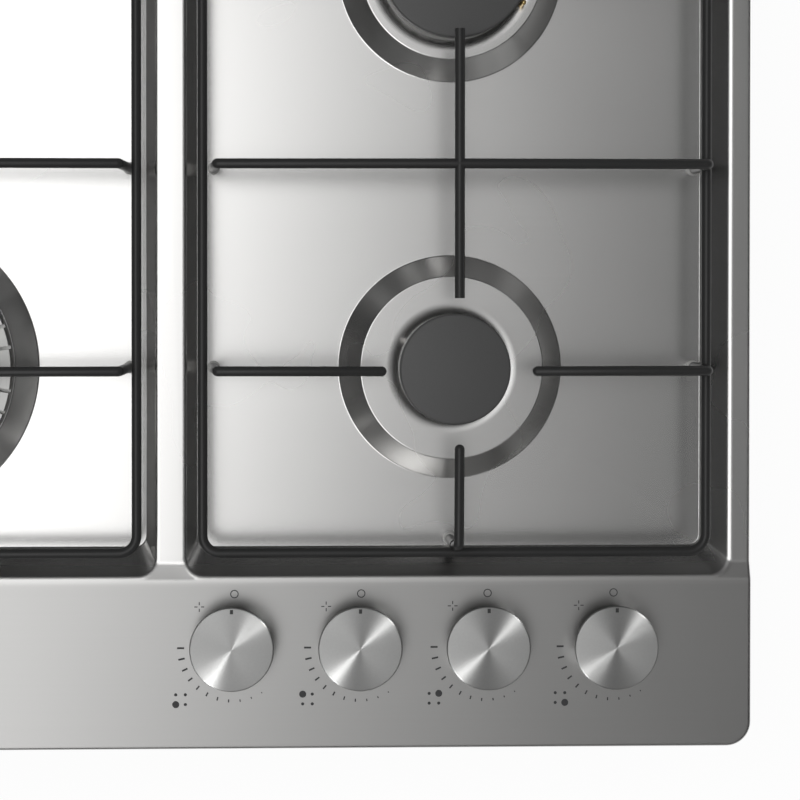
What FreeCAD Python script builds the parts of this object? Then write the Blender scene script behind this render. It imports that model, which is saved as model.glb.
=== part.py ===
import FreeCAD, Part
import math
import os
import Sketcher

# A built-in four-burner gas cooktop: a pressed steel top with two pans, burners on pressed
# plateaus, wire pan supports, taps on a gas rail and a tray below.
# Millimetres. The origin is at the middle of the top in plan, on the worktop's surface.
# +X points right, +Y to the back and +Z up.

doc = FreeCAD.newDocument("gas_cooktop")
sheet = doc.addObject("Spreadsheet::Sheet", "Sizes")

SIZES = {
    # pressed top
    "top_width": "595",
    "top_depth": "510",
    "top_corner": "12.5",
    "top_sheet": "0.8",
    "seal_thickness": "2",
    "flange_width": "9",
    "rim_height": "13",
    "edge_bevel": "2.5",
    "panel_rise": "2.5",
    "panel_depth": "86",
    "ramp_run": "9",
    # recessed pans
    "pan_drop": "10",
    "pan_width": "260",
    "pan_length": "390",
    "pan_corner": "6",
    "rib_width": "15",
    "inner_run": "6",
    "outer_run": "11.6",
    "front_run": "11",
    "rear_run": "6.5",
    "pan_front": "153.2",
    # burners
    "burner_front": "60.5",
    "burner_pitch": "204.4",
    "plateau_rise": "10.5",
    "plateau_run": "10.7",
    "plateau_top": "46.7",
    "wok_plateau_top": "64.6",
    "crown_height": "12",
    "cap_height": "5",
    "cap_bevel": "1.2",
    "small_cap": "28",
    "medium_cap": "37.8",
    "cap_overhang": "4",
    "cap_lip": "0.7",
    "wok_crown": "64",
    "wok_cap": "57",
    "wok_cap_hole": "24",
    "wok_hub": "18",
    "wok_hub_rise": "3",
    "wok_centre_cap": "22",
    "wok_hole": "47",
    "port_width": "1.8",
    "port_depth": "6",
    "skirt_depth": "4.5",
    "skirt_wall": "3",
    "cup_depth": "22",
    "cup_wall": "3",
    "cup_floor": "3",
    "injector_size": "10",
    "injector_length": "9",
    "injector_lift": "6.4",
    "probe_size": "2.6",
    "probe_offset": "40.2",
    "probe_drop": "3",
    "pin_size": "1.4",
    "pin_height": "1.5",
    "screw_size": "7",
    "screw_head": "3",
    "cup_screw_inset": "6",
    # pan supports
    "rod_size": "5",
    "wire_lift": "25.5",
    "bar_lift": "45.6",
    "wire_half_width": "127",
    "wire_half_length": "194.4",
    "wire_bend": "9",
    "rod_bend": "6",
    "finger_gap": "36",
    "outer_post": "126.3",
    "end_post": "191",
    "foot_size": "6.6",
    "foot_thickness": "3",
    # knobs and taps
    "knob_pitch": "64.7",
    "knob_middle": "128.1",
    "knob_row": "201",
    "knob_size": "43",
    "knob_bevel": "0.6",
    "knob_head": "11.5",
    "knob_gap": "4.5",
    "mark_width": "1.6",
    "mark_length": "2.5",
    "mark_inset": "1.5",
    "mark_depth": "0.6",
    "spindle_size": "6",
    "spindle_flat": "1.8",
    "spindle_reach": "8",
    "panel_hole": "12",
    "tap_width": "24",
    "tap_depth": "30",
    "tap_height": "27",
    "tap_top": "6",
    "plunger_size": "5",
    "plunger_length": "10",
    "switch_width": "6",
    "switch_height": "6",
    "rail_size": "16",
    "rail_length": "236",
    "tube_size": "8",
    "tube_drop": "10.4",
    "tube_run": "26",
    "tube_rise": "22",
    "bracket_width": "20",
    "bracket_foot": "14",
    "bracket_sheet": "1.5",
    "inlet_pipe_size": "12",
    "inlet_wall": "7",
    # tray and what it holds
    "tray_width": "540",
    "tray_front": "240",
    "tray_rear": "232",
    "tray_depth": "48",
    "tray_sheet": "0.8",
    "tray_screw_drop": "9",
    "inlet_inset": "15",
    "inlet_setback": "20",
    "inlet_thread": "20.96",
    "inlet_thread_length": "18",
    "inlet_drop": "2",
    "inlet_clearance": "4",
    "cable_hole": "10",
    "cable_lift": "12",
    "cable_reach": "20",
    "terminal_width": "50",
    "terminal_depth": "34",
    "terminal_height": "24",
    "generator_width": "70",
    "generator_depth": "42",
    "generator_height": "24",
    "generator_front": "150",
    "outlet_size": "7",
    "outlet_height": "5",
    "outlet_pitch": "16",
    "clamp_front": "100",
    "clamp_rear": "150",
    "clamp_width": "18",
    "clamp_inner": "14",
    "clamp_outer": "20",
    "clamp_hook": "6",
    "clamp_sheet": "1.5",
    "running_gap": "0.3",
    "shaft_gap": "0.05",
}


class Size:
    # a length that carries its number and the formula that ties it to the sheet
    def __init__(self, number, formula):
        self.number = number
        self.formula = formula

    def __add__(self, other):
        other = sized(other)
        return Size(self.number + other.number, f"({self.formula} + {other.formula})")

    def __sub__(self, other):
        other = sized(other)
        return Size(self.number - other.number, f"({self.formula} - {other.formula})")

    def __mul__(self, factor):
        factor = sized(factor)
        return Size(self.number * factor.number, f"({self.formula} * {factor.formula})")

    def __truediv__(self, factor):
        factor = sized(factor)
        return Size(self.number / factor.number, f"({self.formula} / {factor.formula})")

    def __neg__(self):
        return self * -1

    def __rsub__(self, other):
        return sized(other) - self

    __radd__ = __add__
    __rmul__ = __mul__


def sized(value):
    if isinstance(value, Size):
        return value
    return Size(float(value), f"({float(value):.10g})")


size = {}
for row, (name, text) in enumerate(SIZES.items(), start=1):
    sheet.set(f"A{row}", name)
    sheet.set(f"B{row}", text)
    sheet.setAlias(f"B{row}", name)
    size[name] = Size(float(text), f"Sizes.{name}")
doc.recompute()

sheet_t = size["top_sheet"]
tray_t = size["tray_sheet"]
rim_top = size["rim_height"]
panel_top = rim_top + size["panel_rise"]
pan_top = rim_top - size["pan_drop"]
pan_under = pan_top - sheet_t
plateau_top = pan_top + size["plateau_rise"]
cup_top = plateau_top - sheet_t
crown_top = plateau_top + size["crown_height"]
tray_floor = -size["tray_depth"] + tray_t
burner_x = size["rib_width"] / 2 + size["inner_run"] + size["pan_width"] / 2
front_y = -size["burner_front"]
rear_y = front_y + size["burner_pitch"]
grate_y = (front_y + rear_y) / 2
gap = size["running_gap"]
nothing = sheet_t * 0


# ---- helpers ------------------------------------------------------------------------------

def bind(thing, **lengths):
    for place, length in lengths.items():
        thing.setExpression(place.replace("_", "."), sized(length).formula)
    return thing


def put(thing, x=0, y=0, z=0):
    return bind(thing, Placement_Base_x=x, Placement_Base_y=y, Placement_Base_z=z)


def add(kind, name):
    return doc.addObject(kind, name)


def block(name, low, high):
    # a box between two opposite corners
    box = add("Part::Box", name)
    bind(box, Length=high[0] - sized(low[0]), Width=high[1] - sized(low[1]))
    bind(box, Height=high[2] - sized(low[2]))
    return put(box, *low)


def cylinder(name, radius, height, place):
    return put(bind(add("Part::Cylinder", name), Radius=radius, Height=height), *place)


def prism(name, sides, across, height, place):
    # a regular prism, sized across its flats, with a flat facing +X
    solid = add("Part::Prism", name)
    solid.Polygon = sides
    bind(solid, Circumradius=across / (2 * math.cos(math.pi / sides)), Height=height)
    solid.Placement.Rotation = FreeCAD.Rotation(FreeCAD.Vector(0, 0, 1), 180 / sides)
    return put(solid, *place)


def cut(name, base, tool):
    result = add("Part::Cut", name)
    result.Base = base
    result.Tool = tool
    return result


def fuse(name, shapes):
    result = add("Part::MultiFuse", name)
    result.Shapes = shapes
    return result


def group(name, links):
    result = add("Part::Compound", name)
    result.Links = links
    return result


pieces = []


def piece(label, thing):
    thing.Label = label
    pieces.append(thing)
    return thing


def plane_of(body, role):
    return next(item for item in body.Origin.OriginFeatures if item.Role == role)


def sketch_on(body, role, name, lift=None):
    sketch = body.newObject("Sketcher::SketchObject", name)
    sketch.AttachmentSupport = [(plane_of(body, role), "")]
    sketch.MapMode = "FlatFace"
    if lift is not None:
        sketch.setExpression("AttachmentOffset.Base.z", sized(lift).formula)
    return sketch


def tie(sketch, kind, items, length):
    index = sketch.addConstraint(Sketcher.Constraint(kind, *items, sized(length).number))
    sketch.setExpression(f"Constraints[{index}]", sized(length).formula)


def polygon(sketch, corners):
    points = [FreeCAD.Vector(sized(x).number, sized(y).number, 0) for x, y in corners]
    first = sketch.GeometryCount
    for index, start in enumerate(points):
        end = points[(index + 1) % len(points)]
        sketch.addGeometry(Part.LineSegment(start, end), False)
    for index, (x, y) in enumerate(corners):
        line = first + index
        before = first + (index - 1) % len(corners)
        sketch.addConstraint(Sketcher.Constraint("Coincident", before, 2, line, 1))
        tie(sketch, "DistanceX", (-1, 1, line, 1), x)
        tie(sketch, "DistanceY", (-1, 1, line, 1), y)


def cut_corner_rectangle(sketch, left, right, low, high, corner):
    polygon(sketch, [
        (left + corner, low), (right - corner, low), (right, low + corner), (right, high - corner),
        (right - corner, high), (left + corner, high), (left, high - corner), (left, low + corner),
    ])


def rounded_rectangle(sketch, left, right, low, high, corner):
    # four lines and four tangent arcs; each arc is centred on the inner corner beside it
    x0, x1, y0, y1, r = (sized(v).number for v in (left, right, low, high, corner))
    turns = [(x1 - r, y0 + r, -90), (x1 - r, y1 - r, 0), (x0 + r, y1 - r, 90), (x0 + r, y0 + r, 180)]
    ends = []
    for cx, cy, start in turns:
        a, b = math.radians(start), math.radians(start + 90)
        ring = Part.Circle(FreeCAD.Vector(cx, cy, 0), FreeCAD.Vector(0, 0, 1), r)
        ends.append((sketch.addGeometry(Part.ArcOfCircle(ring, a, b), False), a, b, cx, cy))
    lines = []
    for index, (arc, a, b, cx, cy) in enumerate(ends):
        following = ends[(index + 1) % 4]
        start = FreeCAD.Vector(cx + r * math.cos(b), cy + r * math.sin(b), 0)
        stop = FreeCAD.Vector(
            following[3] + r * math.cos(following[1]), following[4] + r * math.sin(following[1]), 0
        )
        lines.append(sketch.addGeometry(Part.LineSegment(start, stop), False))
    for index in range(4):
        arc, line, following = ends[index][0], lines[index], ends[(index + 1) % 4][0]
        sketch.addConstraint(Sketcher.Constraint("Tangent", arc, 2, line, 1))
        sketch.addConstraint(Sketcher.Constraint("Tangent", line, 2, following, 1))
        kind = "Vertical" if index % 2 == 0 else "Horizontal"
        sketch.addConstraint(Sketcher.Constraint(kind, line))
    for index in range(3):
        sketch.addConstraint(Sketcher.Constraint("Equal", ends[index][0], ends[index + 1][0]))
    tie(sketch, "Radius", (ends[0][0],), corner)
    tie(sketch, "DistanceX", (-1, 1, lines[0], 1), right)
    tie(sketch, "DistanceY", (-1, 1, lines[1], 1), high)
    tie(sketch, "DistanceX", (-1, 1, lines[2], 1), left)
    tie(sketch, "DistanceY", (-1, 1, lines[3], 1), low)


def pad(body, sketch, name, height):
    feature = body.newObject("PartDesign::Pad", name)
    feature.Profile = sketch
    return bind(feature, Length=height)


def pocket(body, sketch, name, depth=None, reverse=False):
    feature = body.newObject("PartDesign::Pocket", name)
    feature.Profile = sketch
    feature.Reversed = reverse
    if depth is None:
        feature.Type = "ThroughAll"
        feature.Midplane = True
        return feature
    return bind(feature, Length=depth)


def body_prism(body, kind, name, sides, radius, height, z, x=0, y=0):
    # a regular prism in a body, sized across its corners; kind is Additive or Subtractive
    feature = body.newObject(f"PartDesign::{kind}Prism", name)
    feature.AttachmentSupport = [(plane_of(body, "XY_Plane"), "")]
    feature.MapMode = "FlatFace"
    feature.Polygon = sides
    bind(feature, Circumradius=radius, Height=height, AttachmentOffset_Base_z=z)
    return bind(feature, AttachmentOffset_Base_x=x, AttachmentOffset_Base_y=y)


def frustum(name, sides, low_radius, top_radius, x, y, low, top):
    # a tapered regular prism
    ends = []
    for level, radius, z in (("base", low_radius, low), ("crest", top_radius, top)):
        outline = add("Part::RegularPolygon", f"{name}_{level}")
        outline.Polygon = sides
        bind(outline, Circumradius=radius)
        ends.append(put(outline, x, y, z))
    solid = add("Part::Loft", name)
    solid.Sections = ends
    solid.Solid = True
    solid.Ruled = True
    return solid


def bent_rod(corners, bend, across):
    # an eight-sided rod along straight runs, with each bend taken in three steps
    points = [FreeCAD.Vector(*(sized(value).number for value in corner)) for corner in corners]
    path = [points[0]]
    for before, corner, after in zip(points, points[1:], points[2:]):
        back = (before - corner).normalize()
        ahead = (after - corner).normalize()
        half = back.getAngle(ahead) / 2
        reach = bend / math.tan(half)
        middle = (back + ahead).normalize() * (bend / math.sin(half) - bend)
        path += [corner + back * reach, corner + middle, corner + ahead * reach]
    path.append(points[-1])
    return swept(Part.makePolygon(path), across)


def mitred_rod(corners, across):
    points = [FreeCAD.Vector(*(sized(value).number for value in corner)) for corner in corners]
    return swept(Part.makePolygon(points), across)


def swept(path, across):
    # the section's flats lie level and upright, so the rod is as high as it is wide
    along = path.OrderedEdges[0].tangentAt(path.OrderedEdges[0].FirstParameter)
    upright = FreeCAD.Vector(0, 0, 1) if abs(along.z) < 0.9 else FreeCAD.Vector(0, 1, 0)
    side = along.cross(upright).normalize()
    upright = side.cross(along).normalize()
    start = path.OrderedVertexes[0].Point
    reach = across / (2 * math.cos(math.pi / 8))
    section = []
    for step in range(9):
        angle = math.pi / 8 + step * math.pi / 4
        section.append(start + side * (reach * math.cos(angle)) + upright * (reach * math.sin(angle)))
    return path.makePipeShell([Part.makePolygon(section)], True, False, 1)


def shaped(name, shapes):
    feature = add("Part::Feature", name)
    feature.Shape = Part.Compound(shapes) if len(shapes) > 1 else shapes[0]
    return feature


# ---- pressed top --------------------------------------------------------------------------

half_width = size["top_width"] / 2
half_depth = size["top_depth"] / 2
panel_back = -half_depth + size["panel_depth"]
knob_y = -size["knob_row"]
knob_xs = [size["knob_middle"] + size["knob_pitch"] * step for step in (-1.5, -0.5, 0.5, 1.5)]
small_hole = size["small_cap"] - size["cap_lip"]
medium_hole = size["medium_cap"] - size["cap_lip"]
plateau_sides = 28
cap_sides = 40
knob_sides = 36
burners = {
    "front_right": (burner_x, front_y, small_hole),
    "rear_right": (burner_x, rear_y, medium_hole),
    "rear_left": (-burner_x, rear_y, medium_hole),
    "front_left": (-burner_x, front_y, size["wok_hole"]),
}


def rim_edges(shape, level):
    # the outline's edges at one height: all but the crease that runs across
    found = []
    for index, edge in enumerate(shape.Edges, start=1):
        box = edge.BoundBox
        level_edge = box.ZLength < 0.001 and abs(box.ZMin - level) < 0.001
        crease = box.YLength < 0.001 and abs(box.YMin) < half_depth.number - 2 * sheet_t.number
        # at the rim's height the panel's own bevel ends, and is left as it is
        behind = level > rim_top.number or box.Center.y > panel_back.number
        if level_edge and behind and not crease:
            found.append(f"Edge{index}")
    return found


def bevelled(body, name, level, amount):
    doc.recompute()
    base = body.Tip
    feature = body.newObject("PartDesign::Chamfer", name)
    feature.Base = (base, rim_edges(base.Shape, level.number))
    return bind(feature, Size=amount)


def pressing(name, skin, flange):
    # the space under the top's upper face, or under its lower face when skin is the sheet
    body = add("PartDesign::Body", name)
    side = skin / 2
    bottom = size["seal_thickness"] + flange
    outline = sketch_on(body, "XY_Plane", name + "_outline", bottom)
    corner = size["top_corner"] - skin
    edge_x, edge_y = half_width - skin, half_depth - skin
    rounded_rectangle(outline, -edge_x, edge_x, -edge_y, edge_y, corner)
    pad(body, outline, name + "_slab", panel_top - skin - bottom)
    if skin is not nothing:
        # the return flange leaves an opening below
        opening = sketch_on(body, "XY_Plane", name + "_opening", size["seal_thickness"] - 1)
        open_x, open_y = half_width - size["flange_width"], half_depth - size["flange_width"]
        rounded_rectangle(opening, -open_x, open_x, -open_y, open_y, corner / 2)
        pad(body, opening, name + "_opening_space", flange + 1)
    bevel = size["edge_bevel"] - skin * 0.6
    bevelled(body, name + "_panel_bevel", panel_top - skin, bevel)
    over = panel_top + 1
    step = sketch_on(body, "YZ_Plane", name + "_step")
    ramp_end = panel_back + size["ramp_run"]
    slope = [(panel_back, panel_top - skin), (ramp_end, rim_top - skin)]
    polygon(step, slope + [(edge_y + 1, rim_top - skin), (edge_y + 1, over), (panel_back, over)])
    pocket(body, step, name + "_step_cut")
    bevelled(body, name + "_rim_bevel", rim_top - skin, bevel)
    # the recessed pans widen from their floors to the rim
    floor = pan_top - skin
    rise = over - floor
    steep = rise / size["pan_drop"]
    low_y = -size["pan_front"]
    for label, way in (("right", 1), ("left", -1)):
        inner = size["rib_width"] / 2 + size["inner_run"] - side
        outer = inner + size["pan_width"] + side * 2
        wide_in, wide_out = inner - size["inner_run"] * steep, outer + size["outer_run"] * steep
        low, high = low_y - side, low_y + size["pan_length"] + side
        wide_low = low - size["front_run"] * steep
        wide_high = high + size["rear_run"] * steep
        bottom_sketch = sketch_on(body, "XY_Plane", f"{name}_{label}_floor", floor)
        top_sketch = sketch_on(body, "XY_Plane", f"{name}_{label}_mouth", over)
        ends = (inner, outer) if way > 0 else (-outer, -inner)
        wide_ends = (wide_in, wide_out) if way > 0 else (-wide_out, -wide_in)
        cut_corner_rectangle(bottom_sketch, *ends, low, high, size["pan_corner"])
        cut_corner_rectangle(top_sketch, *wide_ends, wide_low, wide_high, size["pan_corner"])
        pan = body.newObject("PartDesign::SubtractiveLoft", f"{name}_{label}_pan")
        pan.Profile = bottom_sketch
        pan.Sections = [top_sketch]
        pan.Ruled = True
    plateaus = []
    for label, (x, y, hole) in burners.items():
        top_radius = size["wok_plateau_top"] if label == "front_left" else size["plateau_top"]
        # it starts inside the floor, so that the two are one
        extra = sheet_t / 2
        widen = size["plateau_run"] / size["plateau_rise"] * extra
        foot_radius = top_radius + size["plateau_run"] + widen - side
        ends = (foot_radius, top_radius - side)
        levels = (floor - extra, plateau_top - skin)
        plateaus.append(frustum(f"{name}_{label}", plateau_sides, *ends, x, y, *levels))
    return fuse(name + "_raised", [body] + plateaus)


upper = pressing("upper_form", nothing, nothing)
holes = []
for label, (x, y, hole) in burners.items():
    across = hole * (2 * math.cos(math.pi / plateau_sides))
    place = (x, y, plateau_top - sheet_t * 2)
    holes.append(prism(f"hole_{label}", plateau_sides, across, sheet_t * 4, place))
for label in ("rear_right", "rear_left"):
    x, y, hole = burners[label]
    turn = math.radians(-28)
    reach = size["probe_offset"]
    place = (x + reach * math.cos(turn), y + reach * math.sin(turn), plateau_top - sheet_t * 2)
    holes.append(prism(f"probe_hole_{label}", 8, size["probe_size"] + gap * 2, sheet_t * 4, place))
for index, x in enumerate(knob_xs):
    place = (x, knob_y, panel_top - sheet_t * 2)
    holes.append(prism(f"knob_hole_{index}", 12, size["panel_hole"], sheet_t * 4, place))

lower = pressing("lower_form", sheet_t, sheet_t)
piece("top_plate", cut("top_plate", upper, fuse("top_tools", [lower] + holes)))

seal = add("PartDesign::Body", "rim_seal_body")
seal_sketch = sketch_on(seal, "XY_Plane", "seal_outline")
rounded_rectangle(
    seal_sketch, -half_width + 1, half_width - 1, -half_depth + 1, half_depth - 1, size["top_corner"] - 1
)
seal_inner = size["flange_width"] - 1
rounded_rectangle(
    seal_sketch, -half_width + seal_inner, half_width - seal_inner, -half_depth + seal_inner,
    half_depth - seal_inner, size["top_corner"] / 2
)
pad(seal, seal_sketch, "seal_strip", size["seal_thickness"])
piece("rim_seal", seal)


# ---- tray ---------------------------------------------------------------------------------

tray_x = size["tray_width"] / 2
tray_low = -size["tray_depth"]
tray_front_y, tray_rear_y = -size["tray_front"], size["tray_rear"]
well_back = -size["pan_front"] - size["front_run"] - size["ramp_run"]
panel_under = panel_top - sheet_t
inner_x = tray_x - tray_t
inner_front_y, inner_rear_y = tray_front_y + tray_t, tray_rear_y - tray_t
inlet_x = tray_x - size["inlet_inset"]
inlet_y = tray_rear_y - size["inlet_setback"]
cable_x = tray_x / 3
cable_z = tray_floor + size["cable_lift"]


def bore_through(name, radius, x, y, z, half_length, lying_down=False):
    # a round tool that runs past both faces of the sheet at x, y, z
    tool = cylinder(name, radius, half_length * 2, (0, 0, 0))
    if lying_down:
        tool.Placement.Rotation = FreeCAD.Rotation(FreeCAD.Vector(1, 0, 0), 90)
        return put(tool, x, y + half_length, z)
    return put(tool, x, y, z - half_length)


# a floor with walls that butt at the corners; the front ones rise to the control panel
tray_base = block("tray_base", (-tray_x, tray_front_y, tray_low), (tray_x, tray_rear_y, tray_floor))
inlet_hole_radius = size["inlet_thread"] / 2 + size["inlet_clearance"]
inlet_hole = bore_through("tray_inlet_hole", inlet_hole_radius, inlet_x, inlet_y, tray_low, tray_t * 4)
tray_back = block("tray_back", (-inner_x, inner_rear_y, tray_floor), (inner_x, tray_rear_y, pan_under))
cable_way = bore_through(
    "tray_cable_hole", size["cable_hole"] / 2, cable_x, tray_rear_y, cable_z, tray_t * 4, lying_down=True
)
tray_sheets = [
    cut("tray_floor", tray_base, inlet_hole),
    cut("tray_back_wall", tray_back, cable_way),
    block("tray_front_wall", (-inner_x, tray_front_y, tray_floor), (inner_x, inner_front_y, panel_under)),
    block("tray_step_wall", (-inner_x, well_back - tray_t, pan_under), (inner_x, well_back, panel_under)),
]
for side, low_x, high_x in (("left", -tray_x, -inner_x), ("right", inner_x, tray_x)):
    wall = block(f"tray_{side}_wall", (low_x, tray_front_y, tray_floor), (high_x, tray_rear_y, pan_under))
    cheek = block(f"tray_{side}_cheek", (low_x, tray_front_y, pan_under), (high_x, well_back, panel_under))
    tray_sheets += [wall, cheek]
piece("bottom_tray", group("bottom_tray", tray_sheets))

tray_screw_heads = []
for side in (-1, 1):
    for spot, share in enumerate((-0.3, 0.1, 0.45)):
        head = prism(f"tray_screw_{side + 1}_{spot}", 6, size["screw_size"], size["screw_head"], (0, 0, 0))
        head.Placement.Rotation = FreeCAD.Rotation(FreeCAD.Vector(0, 1, 0), 90 * side)
        put(head, tray_x * side, size["tray_rear"] * 2 * share, -size["tray_screw_drop"])
        tray_screw_heads.append(head)
piece("tray_screws", group("tray_screws", tray_screw_heads))


# ---- burners ------------------------------------------------------------------------------

port_counts = {"front_right": 18, "rear_right": 24, "rear_left": 24, "front_left": 36}
cap_sizes = {"front_right": size["small_cap"], "rear_right": size["medium_cap"]}
cap_sizes["rear_left"] = size["medium_cap"]
cup_low = cup_top - size["cup_depth"]
injector_z = cup_low + size["injector_lift"]
cups, cup_screws, injectors, insulators, pins, probes = [], [], [], [], [], []


def lying(thing, x, y, z):
    # turns an upright solid so that its axis points to the back
    thing.Placement.Rotation = FreeCAD.Rotation(FreeCAD.Vector(1, 0, 0), -90)
    return put(thing, x, y, z)


def ring_crown(body, label, radius, bore):
    ports = port_counts[label]
    body_prism(body, "Additive", "wall", ports, radius, crown_top - cup_top, cup_top)
    skirt_low = cup_top - size["skirt_depth"]
    body_prism(body, "Additive", "skirt", ports, bore - gap, size["skirt_depth"] + 1, skirt_low)
    inner = bore - gap - size["skirt_wall"]
    body_prism(body, "Subtractive", "hollow", ports, inner, size["crown_height"] * 3, skirt_low - 1)
    return inner


def wok_crown(body, radius, bore):
    ports = port_counts["front_left"]
    body_prism(body, "Additive", "wall", ports, radius, crown_top - plateau_top, plateau_top)
    skirt_low = cup_top - size["skirt_depth"]
    skirt = plateau_top - skirt_low
    body_prism(body, "Additive", "skirt", ports, bore - gap, skirt + 1, skirt_low)
    # the gas channel between the hub and the ported wall
    inner = bore - gap - size["skirt_wall"]
    floor = plateau_top + size["skirt_wall"]
    body_prism(body, "Subtractive", "channel", ports, inner, size["crown_height"], floor)
    hub_rise = size["crown_height"] + size["wok_hub_rise"]
    body_prism(body, "Additive", "hub", ports // 3, size["wok_hub"], hub_rise, plateau_top)
    doc.recompute()
    ways = sketch_on(body, "XY_Plane", "gas_ways", crown_top)
    for angle in (0, 90, 180, 270):
        polygon(ways, square(inner * 0.75, size["tube_size"], angle + 45))
    for angle in probe_turns:
        polygon(ways, square(wok_probe_reach, size["probe_size"] + gap * 4, angle))
    pocket(body, ways, "gas_way_cuts")
    return inner


def square(reach, side, turn):
    angle = math.radians(turn)
    half = side / 2
    corners = []
    for along, across in ((-1, -1), (1, -1), (1, 1), (-1, 1)):
        out = reach + half * along
        aside = half * across
        x = out * math.cos(angle) - aside * math.sin(angle)
        y = out * math.sin(angle) + aside * math.cos(angle)
        corners.append((x, y))
    return corners


def cut_ports(body, label, inner, radius):
    # one port at each corner of the wall, so that each tooth between ports has a flat face
    doc.recompute()
    slot = sketch_on(body, "XY_Plane", "port", crown_top)
    half = size["port_width"] / 2
    polygon(slot, [(inner - 1, -half), (radius + 1, -half), (radius + 1, half), (inner - 1, half)])
    first = pocket(body, slot, "port_cut", size["port_depth"])
    ring = body.newObject("PartDesign::PolarPattern", "ports")
    ring.Originals = [first]
    ring.Axis = (slot, ["N_Axis"])
    ring.Angle = 360
    ring.Occurrences = port_counts[label]
    body.Tip = ring


def edge_bevel(body, name, radius, level, amount):
    # takes the sharp edge off the outline's upper side
    doc.recompute()
    base = body.Tip
    rim = []
    for index, edge in enumerate(base.Shape.Edges, start=1):
        middle = edge.BoundBox.Center
        outside = math.hypot(middle.x, middle.y) > radius.number * 0.9
        if outside and edge.BoundBox.ZLength < 0.001 and abs(middle.z - level.number) < 0.001:
            rim.append(f"Edge{index}")
    feature = body.newObject("PartDesign::Chamfer", name)
    feature.Base = (base, rim)
    return bind(feature, Size=amount)


def cap(label, radius, low, height, hole=None):
    # a flat enamelled cap with a bevelled edge, whole or ring-shaped
    body = add("PartDesign::Body", "cap_" + label + "_body")
    body_prism(body, "Additive", "disc", cap_sides, radius, height, low)
    if hole is not None:
        body_prism(body, "Subtractive", "opening", cap_sides, hole, height + 2, low - 1)
    edge_bevel(body, "edge", radius, low + height, size["cap_bevel"])
    return body


probe_turns = (-28, 150)
wok_probe_reach = (size["wok_hub"] + size["wok_cap_hole"]) / 2
for label, (x, y, hole) in burners.items():
    wok = label == "front_left"
    radius = size["wok_crown"] if wok else cap_sizes[label] - size["cap_overhang"]
    half = hole + size["cup_wall"]
    bore = hole - size["cup_wall"] if wok else radius - size["cup_wall"] - 1
    shell = prism(f"cup_{label}_shell", 8, half * 2, size["cup_depth"], (x, y, cup_low))
    depth = size["cup_depth"] - size["cup_floor"]
    space = prism(f"cup_{label}_space", 24, bore * 2, depth + 1, (x, y, cup_low + size["cup_floor"]))
    cups.append(cut(f"cup_{label}", shell, space))
    for way in (-1, 1):
        head_x = x + (half - size["cup_screw_inset"]) * way
        place = (head_x, y, cup_low - size["screw_head"])
        cup_screws.append(prism(
            f"cup_{label}_screw_{way + 1}", 6, size["screw_size"], size["screw_head"], place
        ))
    injector = prism(f"injector_{label}", 6, size["injector_size"], size["injector_length"], (0, 0, 0))
    injectors.append(lying(injector, x, y - half - size["injector_length"], injector_z))
    # the flame probe and the spark electrode stand beside the crown
    for kind, turn in zip(("probe", "spark"), probe_turns):
        reach = wok_probe_reach if wok else (radius + hole) / 2
        foot = cup_low + size["cup_floor"] if wok else cup_top
        if kind == "probe" and label.startswith("rear"):
            reach = size["probe_offset"]
        angle = math.radians(turn)
        px, py = x + reach * math.cos(angle), y + reach * math.sin(angle)
        rod = size["probe_size"] if kind == "probe" else size["probe_size"] * 0.9
        end = crown_top - size["probe_drop"]
        rod_solid = prism(f"{kind}_{label}", 8, rod, end - foot, (px, py, foot))
        if kind == "probe":
            probes.append(rod_solid)
        else:
            insulators.append(rod_solid)
            pins.append(prism(f"pin_{label}", 6, size["pin_size"], size["pin_height"], (px, py, end)))
    crown = add("PartDesign::Body", f"crown_{label}_body")
    inner = wok_crown(crown, radius, bore) if wok else ring_crown(crown, label, radius, bore)
    cut_ports(crown, label, inner, radius)
    piece(f"burner_crown_{label}", put(crown, x, y))
    if wok:
        ring = cap("wok_ring", size["wok_cap"], crown_top, size["cap_height"], size["wok_cap_hole"])
        centre_low = crown_top + size["wok_hub_rise"]
        piece("burner_cap_front_left", put(ring, x, y))
        centre = cap("wok_centre", size["wok_centre_cap"], centre_low, size["cap_height"])
        piece("burner_centre_cap_front_left", put(centre, x, y))
    else:
        plain = cap(label, cap_sizes[label], crown_top, size["cap_height"])
        piece(f"burner_cap_{label}", put(plain, x, y))

piece("burner_cups", group("burner_cups", cups))
piece("cup_screws", group("cup_screws", cup_screws))
piece("injectors", group("injectors", injectors))
piece("spark_insulators", group("spark_insulators", insulators))
piece("spark_pins", group("spark_pins", pins))
piece("thermocouples", group("thermocouples", probes))


# ---- taps, knobs and gas ways -------------------------------------------------------------

tap_names = ("front_left", "rear_left", "rear_right", "front_right")
tap_top = size["tap_top"]
tap_low = tap_top - size["tap_height"]
tap_z = tap_top - size["tap_height"] / 2
knob_low = panel_top + size["knob_gap"]
knob_top = knob_low + size["knob_head"]
plunger_low = tap_low + size["running_gap"] * 10
plunger_top = plunger_low + size["plunger_length"]
spindle_top = knob_low + size["spindle_reach"]
shaft = size["spindle_size"] / 2


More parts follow.
